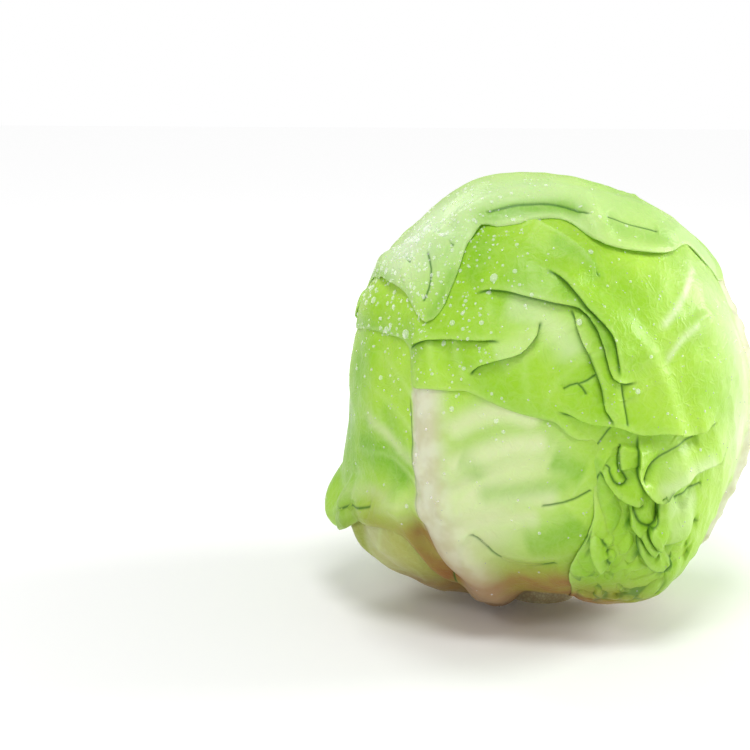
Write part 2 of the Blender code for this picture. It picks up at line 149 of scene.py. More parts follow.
# Side veins: how many steps they take, how far they bend at each in degrees, what is left of their height
# and width at the tip, their colour, and their twigs: from where to where, length, height, width and lean.
# The front leaf's main side veins are higher and wider.
VEIN_STEPS = 4
VEIN_BEND = 10
VEIN_TIP = (0.3, 0.7)
VEIN_COLOUR = 0.75
TWIG_SPAN = (0.25, 0.95)
TWIG_SHARES = (0.32, 0.5, 0.75)
TWIG_LEAN = 50
SIDE_VEIN_HEIGHT = 0.0016
SIDE_VEIN_WIDTH = 0.0050

# Puffed cells: how far their middles scatter, how far the cells reach and over how much of that they fade,
# how wavy and steep the walls between them are, how deep they lie, and how dark and wide the painted shade
# lines there are
CELL_REACH = 1.7
CELL_SCATTER = 0.6
CELL_FAR = 1.6
CELL_FADE = 0.9
WALL_WAVES = 2.2
WALL_BEND = 0.10
WALL_RISE = 1.8
WALL_DEPTH = 0.35
WALL_SHADE = 0.75
WALL_WIDTH = 0.16

# The margin: how wide the strip is in which the inner face follows the outer one, the thin edge and its
# share of the blade's thickness, how far in it curls, and how far in the blade has its full lift
RIM = 0.007
THIN_EDGE = 0.0022
THIN_SHARE = 0.55
CURL_WIDTH = 0.0045
SETTLED = 0.014

# Where painted shade and warm bounced light turn the leaves brown towards their feet, as the direction's
# downward part
FOOT_FROM = 0.74
FOOT_RUN = 0.20

# The grids: cells across the inner face of a big leaf and of a base leaf, how many times finer the outer
# face is, how far apart the two lie while they are flat, and how close to a fold or crease the outer face is
# split once and then once more
INNER_LINES = 64
BASE_INNER_LINES = 24
FINER = 3
FLAT_DEPTH = 0.01
SPLIT_NEAR = (0.0040, 0.0015)

# The step along a smooth path, and what counts as nothing
PATH_STEP = 0.003
TINY = 1e-9

# The photograph's viewpoint, by which the points that are read from it are placed on the head
PHOTO_SIZE = 750
FOCAL_PIXELS = 1661.0
SENSOR_WIDTH = 36.0
EYE_DISTANCE = 0.75
EYE_ELEVATION = 12.0
AIM_LEFT = 0.0768
AIM_UP = 0.0059
SIGHT_STEPS = 12

# Water: the seed, the middle and spread of the azimuths and elevations of drops and of mist, how their sizes
# vary, how straight they face outwards at least, their widths and heights as shares of their size, how far
# out of the skin they stand, and how strong their painted glow is
DROP_SEED = 21
DROP_PLACES = ((-46, 38), (20, 14))
MIST_PLACES = ((0, 22), (52, 30))
DROP_VARIETY = (-0.2, 0.4)
DROP_FACING = 0.5
DROP_WIDTHS = (0.8, 1.2)
DROP_HEIGHTS = (0.45, 0.6)
DROP_RISE = 0.08
DROP_GLOW = 0.12

# The leaf's finish: cells and specks to the metre, and how far each mark tints the blade
COARSE_CELLS = 140.0
FINE_CELLS = 420.0
SPECKS = 500.0
PLACE_TINT = 0.85
COARSE_TINT = 0.06
FINE_TINT = 0.05
# The veins' mark also holds the painted highlight on fold rolls
VEIN_AND_HIGHLIGHT_TINT = 0.40
# The paler margin is partly painted rim light
MARGIN_TINT = 0.35
GLINT_SPECK_TINT = 0.08
# Painted shade in folds and creases
CREASE_SHADE_TINT = 0.82
FOOT_SHADE_TINT = 0.80
BLADE_ROUGHNESS = (0.36, 0.52)
BLADE_RELIEF = 0.00010

# The studio: lamps as name, azimuth, elevation, distance, size, watts
LAMPS = (
    ("back_right", 108, 22, 0.9, 0.4, 5.2),
    ("back_left", -138, 46, 0.9, 0.4, 2.0),
    ("top", 0, 62, 0.9, 0.35, 3.2),
    ("front_left", -30, 34, 1.1, 0.25, 1.2),
)

# The white world's strength as light and as seen, half the floor's width, how far from the origin the
# floor's glow sets in and is full, and its strength at both
WORLD_STRENGTH = 0.42
WORLD_SEEN = 1.0
FLOOR_SIZE = 4.0
GLOW_REACH = (0.12, 0.70)
FLOOR_GLOW = (0.02, 0.58)


def unit(v):
    """The vectors in v, each one unit long."""
    v = np.asarray(v, float)
    return v / np.maximum(np.linalg.norm(v, axis=-1, keepdims=True), TINY)


def faced(*angles):
    """Unit vectors from the head's centre. Azimuth 0 is the front and 90 the right, elevation is up."""
    azimuth, elevation = np.radians(np.array(angles, float)).T
    across = np.cos(elevation)
    return np.stack((np.sin(azimuth) * across, -np.cos(azimuth) * across, np.sin(elevation)), axis=1)


def bump(d, azimuth, elevation, spread):
    """A smooth round bump of height 1 about that direction, spread degrees wide."""
    angle = np.degrees(np.arccos(np.clip(d @ faced((azimuth, elevation))[0], -1, 1)))
    return np.exp(-((angle / spread) ** 2))


def heart_radius(d):
    """How far the heart's surface is from the head's centre, in each direction."""
    across = np.hypot(d[:, 0] / HALF_WIDTH, d[:, 1] / HALF_DEPTH)
    upper = d[:, 2] > 0
    up = np.abs(d[:, 2]) / np.where(upper, HALF_TOP, HALF_BOTTOM)
    n = np.where(upper, ROUND_TOP, ROUND_BOTTOM)
    radius = (across**n + up**n) ** (-1 / n)
    for azimuth, elevation, spread, height in SWELLINGS:
        radius = radius + height * bump(d, azimuth, elevation, spread)
    return radius


def viewpoint():
    """The eye's place, seen from the head's centre, and its directions to the right, up and ahead."""
    back = faced((0, EYE_ELEVATION))[0]
    eye = back * EYE_DISTANCE
    right = np.array((1.0, 0.0, 0.0))
    up = np.cross(back, right)
    ahead = unit(up * AIM_UP - right * AIM_LEFT - eye)
    right = unit(np.cross(ahead, (0, 0, 1)))
    return eye, right, np.cross(right, ahead), ahead


def seen(*pixels):
    """Unit vectors from the head's centre to what the photograph shows at those pixels."""
    eye, right, up, ahead = viewpoint()
    offset = np.array(pixels, float) - PHOTO_SIZE / 2
    ray = unit(ahead + (offset[:, :1] * right - offset[:, 1:] * up) / FOCAL_PIXELS)
    nearest = -(ray @ eye)
    point = eye + ray * nearest[:, None]
    miss = np.linalg.norm(np.cross(ray, eye), axis=1)
    for _ in range(SIGHT_STEPS):
        radius = heart_radius(unit(point)) + SKIN
        reach = nearest - np.sqrt(np.maximum(radius**2 - miss**2, 0))
        point = eye + ray * reach[:, None]
    return unit(point)


def smooth_path(points, closed=False):
    """A smooth line on the unit sphere through the points, with a step of about PATH_STEP on the skin."""
    points = np.asarray(points, float)
    if closed:
        points = np.vstack((points[-1:], points, points[:2]))
    else:
        points = np.vstack((2 * points[0] - points[1], points, 2 * points[-1] - points[-2]))
    line = []
    for a, b, c, e in zip(points, points[1:], points[2:], points[3:]):
        steps = max(2, round(np.linalg.norm(c - b) * HALF_WIDTH / PATH_STEP))
        t = np.arange(steps)[:, None] / steps
        near = 2 * b + (c - a) * t + (2 * a - 5 * b + 4 * c - e) * t**2
        line.append(0.5 * near + 0.5 * (3 * b - a - 3 * c + e) * t**3)
    return unit(np.vstack([*line, points[-2:-1]]))


def beside(d, path, far):
    """For each direction closer than far to the path: its distance on the skin, more than 0 on the path's
    left, how far along the path that is, from 0 to 1, and which way left is. All others count as far off."""
    reach = far / SKIN_RADIUS
    around = path.mean(axis=0)
    widest = np.linalg.norm(path - around, axis=1).max() + reach
    close = np.flatnonzero(d @ around > (1 + around @ around - widest**2) / 2)
    here = d[close]
    best = np.full(len(here), reach)
    side = np.ones(len(here))
    share = np.full(len(here), 0.5)
    sideways = np.zeros((len(here), 3))
    normals = unit(np.cross(path[:-1], path[1:]))
    corners = unit(np.vstack((normals[:1], normals[:-1] + normals[1:], normals[-1:])))
    for i, (a, b) in enumerate(zip(path, path[1:])):
        step = b - a
        middle = (a + b) / 2
        bound = (1 + middle @ middle - (reach + np.linalg.norm(step) / 2) ** 2) / 2
        near = np.flatnonzero(here @ middle > bound)
        offset = here[near] - a
        t = np.clip((offset @ step) / (step @ step), 0, 1)
        gap = np.linalg.norm(offset - t[:, None] * step, axis=1)
        closer = gap < best[near]
        near = near[closer]
        t = t[closer]
        best[near] = gap[closer]
        side[near] = np.where(here[near] @ normals[i] < 0, -1, 1)
        share[near] = (i + t) / (len(path) - 1)
        sideways[near] = corners[i] + t[:, None] * (corners[i + 1] - corners[i])
    away = np.full(len(d), far)
    along = np.full(len(d), 0.5)
    left = np.zeros((len(d), 3))
    away[close] = best * side * SKIN_RADIUS
    along[close] = share
    left[close] = sideways
    return away, along, left


def smooth(t):
    """0 below 0, 1 above 1, and a smooth rise between."""
    t = np.clip(t, 0, 1)
    return t * t * (3 - 2 * t)


def between(along, ends):
    """0 at both ends of a line and 1 in between, with a smooth rise over that share of its length."""
    return smooth(np.minimum(along, 1 - along) / ends)


def bell(away):
    """1 at 0, and a smooth fall to about 0 beyond 2 on both sides."""
    return np.exp(-(away**2))


def ripple(d, wavelength, seed):
    """Smooth unevenness of about that wavelength, mostly between -1 and 1."""
    rng = np.random.default_rng(seed)
    ways = unit(rng.normal(size=(WAVE_COUNT, 3))) * (2 * math.pi * SKIN_RADIUS / wavelength)
    ways *= rng.uniform(0.7, 1.3, (WAVE_COUNT, 1))
    starts = rng.uniform(0, 2 * math.pi, WAVE_COUNT)
    return np.sin(d @ ways.T + starts).sum(axis=1) / math.sqrt(WAVE_COUNT)


class Marks:
    """What the features of a leaf do to its outer face at each vertex: how far they raise it, sink it and
    push it sideways, and how much it has of painted shade in folds and creases, of the veins' colour with
    the painted highlight on a fold's roll, of white rib, of deep green that is partly painted shade, or of a
    pale band that is partly painted highlight."""

    def __init__(self, count):
        self.height = np.zeros(count)
        self.groove = np.zeros(count)
        self.shift = np.zeros((count, 3))
        self.crease_shade = np.zeros(count)
        self.vein_and_highlight = np.zeros(count)
        self.white = np.zeros(count)
        self.deep = np.zeros(count)
        self.light = np.zeros(count)


class Tuck:
    """A fold that laps over: the blade rises in a roll on the line's left, leans over the line and falls
    steeply back to its right."""

    def __init__(self, points, height, run, lap):
        self.path = smooth_path(points)
        self.height = height
        self.run = run
        self.lap = lap

    def roll(self, away, along):
        """How high the roll stands, how far up its steep side it is, and how much of a fold there is."""
        out = smooth((FOLD_FAR - np.abs(away)) / FOLD_FAR * FOLD_FADE)
        steep = smooth(away / FOLD_STEP + 0.5)
        ends = between(along, FOLD_ENDS)
        return self.height * (np.exp(-np.maximum(away, 0) / self.run) * steep * out) * ends, steep, ends

    def relief(self, d):
        away, along, _ = beside(d, self.path, FOLD_FAR)
        return self.roll(away, along)[0]

    def mark(self, d, marks):
        away, along, left = beside(d, self.path, FOLD_FAR)
        height, over, ends = self.roll(away, along)
        marks.height += height
        amount = (LAP_BACK * (1 - over) - over) * np.exp(-np.abs(away) / LAP_RUN) * ends * self.lap
        marks.shift += left * (amount / SKIN_RADIUS)[:, None]
        drawn = between(along, LINE_ENDS)
        # Painted shade: a dark line at the foot of the fold's steep side
        line = bell((away + 0.5 * FOLD_STEP) / FOLD_SHADE_WIDTH) * drawn
        # Painted highlight: a light line on the fold's roll, kept with the veins' colour
        lit = bell((away - FOLD_STEP) / HIGHLIGHT_WIDTH) * drawn
        marks.crease_shade = np.maximum(marks.crease_shade, line)
        marks.vein_and_highlight = np.maximum(marks.vein_and_highlight, HIGHLIGHT_STRENGTH * lit)


class Crease:
    """A line where two soft swells of the blade meet."""

    def __init__(self, points, depth, width):
        self.path = smooth_path(points)
        self.depth = depth
        self.width = width

    def mark(self, d, marks):
        far = CREASE_FAR * self.width
        away, along, _ = beside(d, self.path, far)
        drawn = between(along, LINE_ENDS)
        out = smooth((far - np.abs(away)) / (CREASE_FADE * self.width))
        groove = self.depth * drawn * out * np.exp(-np.abs(away) / self.width)
        marks.groove = np.maximum(marks.groove, groove)
        # Painted shade: a dark line along the middle of the groove
        marks.crease_shade = np.maximum(marks.crease_shade, drawn * bell(away / CREASE_SHADE_WIDTH))


class Ridge:
    """A rib or vein: a rounded ridge along its line, which thins out from its first point to its last."""

    def __init__(self, points, height, width, end_height=0.0, end_width=None, colour=1.0, white=0.0):
        self.path = smooth_path(points)
        self.height = (height, end_height)
        self.width = (width, end_width or width)
        self.colour = colour
        self.white = white

    def across(self, d):
        away, along, _ = beside(d, self.path, RIDGE_FAR * max(self.width))
        height = self.height[0] + (self.height[1] - self.height[0]) * along
        width = self.width[0] + (self.width[1] - self.width[0]) * along
        return away / width, along, height

    def relief(self, d):
        away, _, height = self.across(d)
        return height * np.exp(-(np.abs(away) ** 3))

    def mark(self, d, marks):
        away, along, height = self.across(d)
        marks.height += height * np.exp(-(np.abs(away) ** 3))
        fade = 1 - VEIN_FADE * along
        marks.vein_and_highlight = np.maximum(marks.vein_and_highlight, self.colour * fade * bell(away / VEIN_COLOUR_WIDTH))
        if self.white:
            white = self.white
            for side, (width, sharpness) in ((away, RIB_LEFT), (-away, RIB_RIGHT)):
                white = white * np.exp(-((np.maximum(side, 0) / width) ** sharpness))
            marks.white = np.maximum(marks.white, white)


class Swath:
    """A soft band along its line that is deeper green and partly painted shade, or paler and partly painted
    highlight.
    """

    def __init__(self, points, width, strength, light=False):
        self.path = smooth_path(points)
        self.width = width
        self.strength = strength
        self.light = light

    def mark(self, d, marks):
        away, along, _ = beside(d, self.path, BAND_FAR * self.width)
        band = self.strength * between(along, FOLD_ENDS) * bell(away / self.width)
        if self.light:
            marks.light = np.maximum(marks.light, band)
        else:
            marks.deep = np.maximum(marks.deep, band)


class Swelling:
    """A round swelling of a blade, or a hollow where its height is below 0."""

    def __init__(self, azimuth, elevation, spread, height):
        self.place = (azimuth, elevation, spread)
        self.height = height

    def relief(self, d):
        return self.height * bump(d, *self.place)


class Crumple:
    """Blade that is puffed up in small cells, with creases between them."""

    def __init__(self, pixel, spread, cell, height, seed):
        self.middle = seen(pixel)[0]
        self.spread = math.radians(spread)
        rng = np.random.default_rng(seed)
        reach = self.spread * CELL_REACH
        count = round(math.pi * (reach * SKIN_RADIUS / cell) ** 2)
        scattered = rng.normal(size=(count, 3)) * math.tan(reach) * CELL_SCATTER
        self.points = unit(self.middle + scattered)
        self.cell = cell
        self.height = height
        self.seed = seed

    def mark(self, d, marks):
        angle = np.arccos(np.clip(d @ self.middle, -1, 1))
        near = np.flatnonzero(angle < CELL_FAR * self.spread)
        if not len(near):
            return
        weight = smooth((CELL_FAR * self.spread - angle[near]) / (CELL_FADE * self.spread))
        place = d[near]
        bent = ripple(place, WALL_WAVES * self.cell, self.seed)
        gaps = np.linalg.norm(place[:, None] - self.points[None], axis=2) * SKIN_RADIUS / self.cell
        first, second = np.partition(gaps, 1, axis=1)[:, :2].T
        wall = np.maximum(second - first + WALL_BEND * bent, 0)
        marks.height[near] += self.height * weight * (smooth(wall * WALL_RISE) - WALL_DEPTH)
        # Painted shade: dark lines along the walls between the cells
        crease_shade = WALL_SHADE * weight * bell(wall / WALL_WIDTH)
        marks.crease_shade[near] = np.maximum(marks.crease_shade[near], crease_shade)


def side_veins(rib, first, last, count, reach, height, width, lean=58, twigs=3):
    """Veins that leave a rib on both sides and bend towards its tip, with finer twigs of their own."""
    path = smooth_path(rib)
    lines = []
    for i in range(2 * count):
        share = first + (last - first) * i / (2 * count - 1)
        place = min(round(share * (len(path) - 1)), len(path) - 2)
        start = path[place]
        ahead = unit(path[place + 1] - start)
        side = 1 if i % 2 else -1
        left = np.cross(start, ahead) * side
        points = [start]
        for step in range(VEIN_STEPS):
            angle = math.radians(lean - VEIN_BEND * step)
            heading = math.cos(angle) * ahead + math.sin(angle) * left
            points.append(unit(points[-1] + heading * reach / VEIN_STEPS / SKIN_RADIUS))
        tip = (VEIN_TIP[0] * height, VEIN_TIP[1] * width)
        lines.append(Ridge(points, height, width, *tip, colour=VEIN_COLOUR))
        if twigs:
            finer = [share * size for share, size in zip(TWIG_SHARES, (reach, height, width))]
            lines += side_veins(points, *TWIG_SPAN, twigs, *finer, TWIG_LEAN, 0)
    return lines


def traced(kind, *rows, **more):
    """Features of that kind along lines of the photograph, from rows of two sizes and the line's points."""
    return [kind(seen(*points), first, second, **more) for first, second, *points in rows]


class Leaf:
    """One wrapper leaf. Its outline goes once round its middle, and is read along the head's skin.

    The rib and the relief are the leaf's main forms, which the leaves over it lie on. The detail is fine
    work on its outer face. Three lists of places, as azimuth, elevation, spread, strength, make it paler
    with some painted highlight, deeper green with some painted shade, or brown with painted shade and warm
    bounced light.
    """

    def __init__(
        self, name, middle, outline, rib, lift, relief=(), waves=(0, 0, 0), detail=(), pale=(), deep=(),
        shade_and_brown=(),
    ):
        self.name = name
        self.middle = faced(middle)[0]
        upright = np.array((0.0, 0.0, 1.0))
        self.up = unit(upright - self.middle * self.middle[2])
        self.right = np.cross(self.up, self.middle)
        self.rib = rib
        self.lift = lift
        self.swellings = [f for f in relief if isinstance(f, Swelling)]
        self.lines = [f for f in relief if not isinstance(f, Swelling)]
        self.detail = detail
        self.waves = waves
        self.pale = pale
        self.deep = deep
        self.shade_and_brown = shade_and_brown
        bearing, reach = self.polar(smooth_path(outline, closed=True))
        order = np.argsort(bearing)
        self.bearings = bearing[order]
        self.reaches = reach[order]
        around = np.append(self.bearings, self.bearings[0] + 2 * math.pi)
        steps = np.hypot(np.diff(around) * self.reaches, np.diff(np.append(self.reaches, self.reaches[0])))
        turned = np.append(0, np.cumsum(steps)) / steps.sum() * 2 * math.pi
        self.turns = turned + self.bearings[0]
        self.turned_bearings = around

    def polar(self, d):
        """Bearing about the leaf's middle, and the angle from it, both in radians."""
        across, up = d @ self.right, d @ self.up
        return np.arctan2(across, up), np.arccos(np.clip(d @ self.middle, -1, 1))

    def reach(self, bearing):
        """How far the blade reaches at that bearing, with the waves of its margin."""
        count, height, start = self.waves
        plain = np.interp(bearing, self.bearings, self.reaches, period=2 * math.pi)
        wave = np.sin(count * bearing + start)
        finer = np.sin(math.floor(FINE_WAVES * count) * bearing)
        return plain + height * (wave + FINE_WAVE_HEIGHT * finer)

    def directions(self, x, y):
        """The directions that the points x, y of the unit disc stand for, spread evenly along the margin."""
        turn = self.turns[0] + np.mod(np.arctan2(x, y) - self.turns[0], 2 * math.pi)
        bearing = np.interp(turn, self.turns, self.turned_bearings)
        angle = np.hypot(x, y) * self.reach(bearing)
        outward = np.sin(bearing)[:, None] * self.right + np.cos(bearing)[:, None] * self.up
        return clear_of_stalk(np.cos(angle)[:, None] * self.middle + np.sin(angle)[:, None] * outward)

    def inside(self, d):
        """Distance inside the margin on the skin, below 0 outside it."""
        bearing, angle = self.polar(d)
        return (self.reach(bearing) - angle) * SKIN_RADIUS

    def cover(self, d):
        """1 where the leaf lies, and a smooth fall to 0 over the drape beyond its margin."""
        return smooth(self.inside(d) / DRAPE + DRAPE_START)

    def swell(self, d):
        """The lift and the broad swellings, which both faces share."""
        return self.lift + sum((s.relief(d) for s in self.swellings), np.zeros(len(d)))

    def height(self, d):
        """How thick a layer the leaf adds to what it lies on, folds and rib included."""
        raised = self.swell(d) + sum((line.relief(d) for line in self.lines), np.zeros(len(d)))
        return GAP + np.maximum(raised, LEAST_LIFT) + BLADE + self.rib.relief(d)


def clear_of_stalk(d):
    """The directions, with those too close to straight down moved aside."""
    sideways = np.hypot(d[:, 0], d[:, 1])
    least = np.where(d[:, 2] < 0, math.sin(math.radians(STALK_ROOM)), 0)
    d = d.copy()
    d[:, :2] *= (np.maximum(sideways, least) / np.maximum(sideways, TINY))[:, None]
    return unit(d)


def bed(d, under):
    """Distance of what a leaf lies on from the head's centre."""
    radius = heart_radius(d) + GAP
    for leaf in under:
        cover = leaf.cover(d)
        on = np.flatnonzero(cover > 0)
        if len(on):
            radius[on] += cover[on] * leaf.height(d[on])
    return radius


def front_leaf():
    outline = np.vstack(
        (
            faced((-80, 36), (-106, 14), (-107, -4), (-101, -16), (-95, -25), (-88, -32), (-80, -33)),
            faced((-70, -31.5), (-60, -29), (-50, -28.5), (-44, -31), (-41, -37), (-42, -46), (-46, -60)),
            faced((-45, -76), (10, -74), (34, -55), (38, -20), (30, 15), (2, 38), (-40, 46)),
        )
    )
    midrib = seen(
        (503, 592), (482, 579), (459, 559), (445, 537), (434, 508), (428, 477), (425, 435), (424, 397),
        (424, 350),
    )
    rib = Ridge(midrib, height=0.0090, width=0.0098, end_height=0.0030, end_width=0.0072, white=1.0)
    main_veins = (
        seen((452, 512), (482, 505), (520, 503), (558, 500), (590, 494)),
        seen((450, 476), (482, 460), (520, 453), (560, 449)),
        seen((416, 468), (389, 444), (370, 422), (360, 410)),
        seen((418, 512), (389, 496), (366, 487), (347, 487)),
    )
    relief = [Ridge(points, SIDE_VEIN_HEIGHT, SIDE_VEIN_WIDTH, colour=0.6) for points in main_veins]
    relief += [
        Swelling(-86, -29, 13, 0.0070),
        Swelling(-8, -38, 17, 0.0040),
        Swelling(0, -14, 17, 0.0022),
    ]
    detail = traced(
        Ridge,
        (0.0008, 0.0018, (448, 440), (474, 426), (505, 420), (540, 424)),
        (0.0008, 0.0018, (455, 500), (480, 484), (520, 476), (575, 474)),
        (0.0009, 0.0020, (462, 540), (490, 530), (528, 524), (572, 520)),
        (0.0009, 0.0020, (470, 556), (500, 556), (540, 560), (570, 560)),
        (0.0008, 0.0018, (411, 440), (394, 418), (378, 400), (366, 384)),
        (0.0007, 0.0016, (410, 400), (396, 380), (384, 364), (372, 352)),
        (0.0007, 0.0016, (414, 492), (396, 470), (376, 456), (352, 448)),
        (0.0009, 0.0020, (420, 530), (400, 514), (380, 505), (352, 506)),
    )
    detail += traced(
        Crease,
        (0.0018, 0.0034, (467, 535), (485, 549), (504, 561), (527, 567), (560, 566)),
        (0.0008, 0.0016, (404, 394), (405, 426), (407, 457), (411, 487), (418, 518), (430, 545),
         (447, 568), (470, 590)),
        (0.0022, 0.0022, (336, 495), (350, 498), (363, 500), (377, 504)),
        (0.0010, 0.0016, (540, 508), (560, 506), (580, 500), (594, 493)),
    )
    # Deeper green bands in the valleys between the veins and below the pillows, partly painted shade
    detail += traced(
        Swath,
        (0.0050, 0.5, (372, 402), (384, 424), (398, 450), (404, 474)),
        (0.0085, 1.0, (352, 440), (370, 452), (390, 472), (408, 496)),
        (0.0060, 0.8, (334, 508), (346, 512), (360, 510)),
        (0.0040, 0.6, (470, 498), (500, 494), (540, 490), (580, 484)),
        (0.0080, 0.8, (520, 548), (545, 544), (568, 534), (584, 520)),
        (0.0050, 0.5, (454, 462), (470, 470), (480, 486)),
        (0.0055, 0.8, (548, 462), (568, 470), (588, 478)),
    )
    # Paler bands along the main veins: partly their own colour, partly painted highlight on their ridges
    detail += traced(
        Swath,
        (0.0064, 1.0, (440, 510), (482, 502), (525, 496), (570, 500)),
        (0.0070, 1.0, (438, 476), (480, 458), (516, 448), (560, 446)),
        (0.0064, 0.9, (438, 440), (472, 420), (505, 414), (550, 428)),
        (0.0070, 0.9, (450, 538), (484, 526), (515, 520), (550, 520)),
        (0.0030, 0.8, (412, 470), (389, 446), (370, 424), (360, 410)),
        (0.0030, 0.5, (416, 512), (389, 500), (366, 489), (347, 487)),
        light=True,
    )
    detail += traced(
        Ridge,
        (0.0012, 0.0060, (450, 508), (482, 502), (525, 496), (560, 500)),
        (0.0012, 0.0060, (448, 472), (480, 458), (516, 448), (552, 446)),
        (0.0012, 0.0050, (416, 512), (389, 500), (366, 489), (347, 487)),
        colour=0.0,
    )
    for points in main_veins:
        detail += side_veins(points, 0.15, 0.9, 4, 0.014, 0.0004, 0.0010, 50, 0)
    # Paler places beside the rib: partly the blade's own colour, partly painted highlight on the lit pillows
    pale = (
        (-20, -14, 12, 0.70), (-4, -6, 11, 0.65), (-22, -28, 10, 0.60), (-10, -24, 12, 0.40),
        (-44, -22, 6, 0.30),
    )
    # Deeper green places, partly painted shade
    deep = ((-66, 12, 10, 0.8), (-78, -8, 14, 1.0), (-66, -30, 9, 0.7), (-56, -6, 8, 0.4), (4, -32, 9, 0.4))
    # Painted shade and warm bounced light at the leaf's foot
    shade_and_brown = (
        (-4, -50, 13, 1.0), (-26, -54, 12, 1.0), (10, -48, 10, 0.9), (-38, -31, 6, 0.8), (-35, -41, 8, 0.9),
        (-45, -50, 10, 0.8), (-51, -29, 7, 0.5), (-60, -38, 10, 0.6), (-14, -66, 16, 1.0),
    )
    return Leaf(
        "front_leaf", (-10, 20), outline, rib, 0.0004, relief, detail=detail, pale=pale, deep=deep, shade_and_brown=shade_and_brown
    )


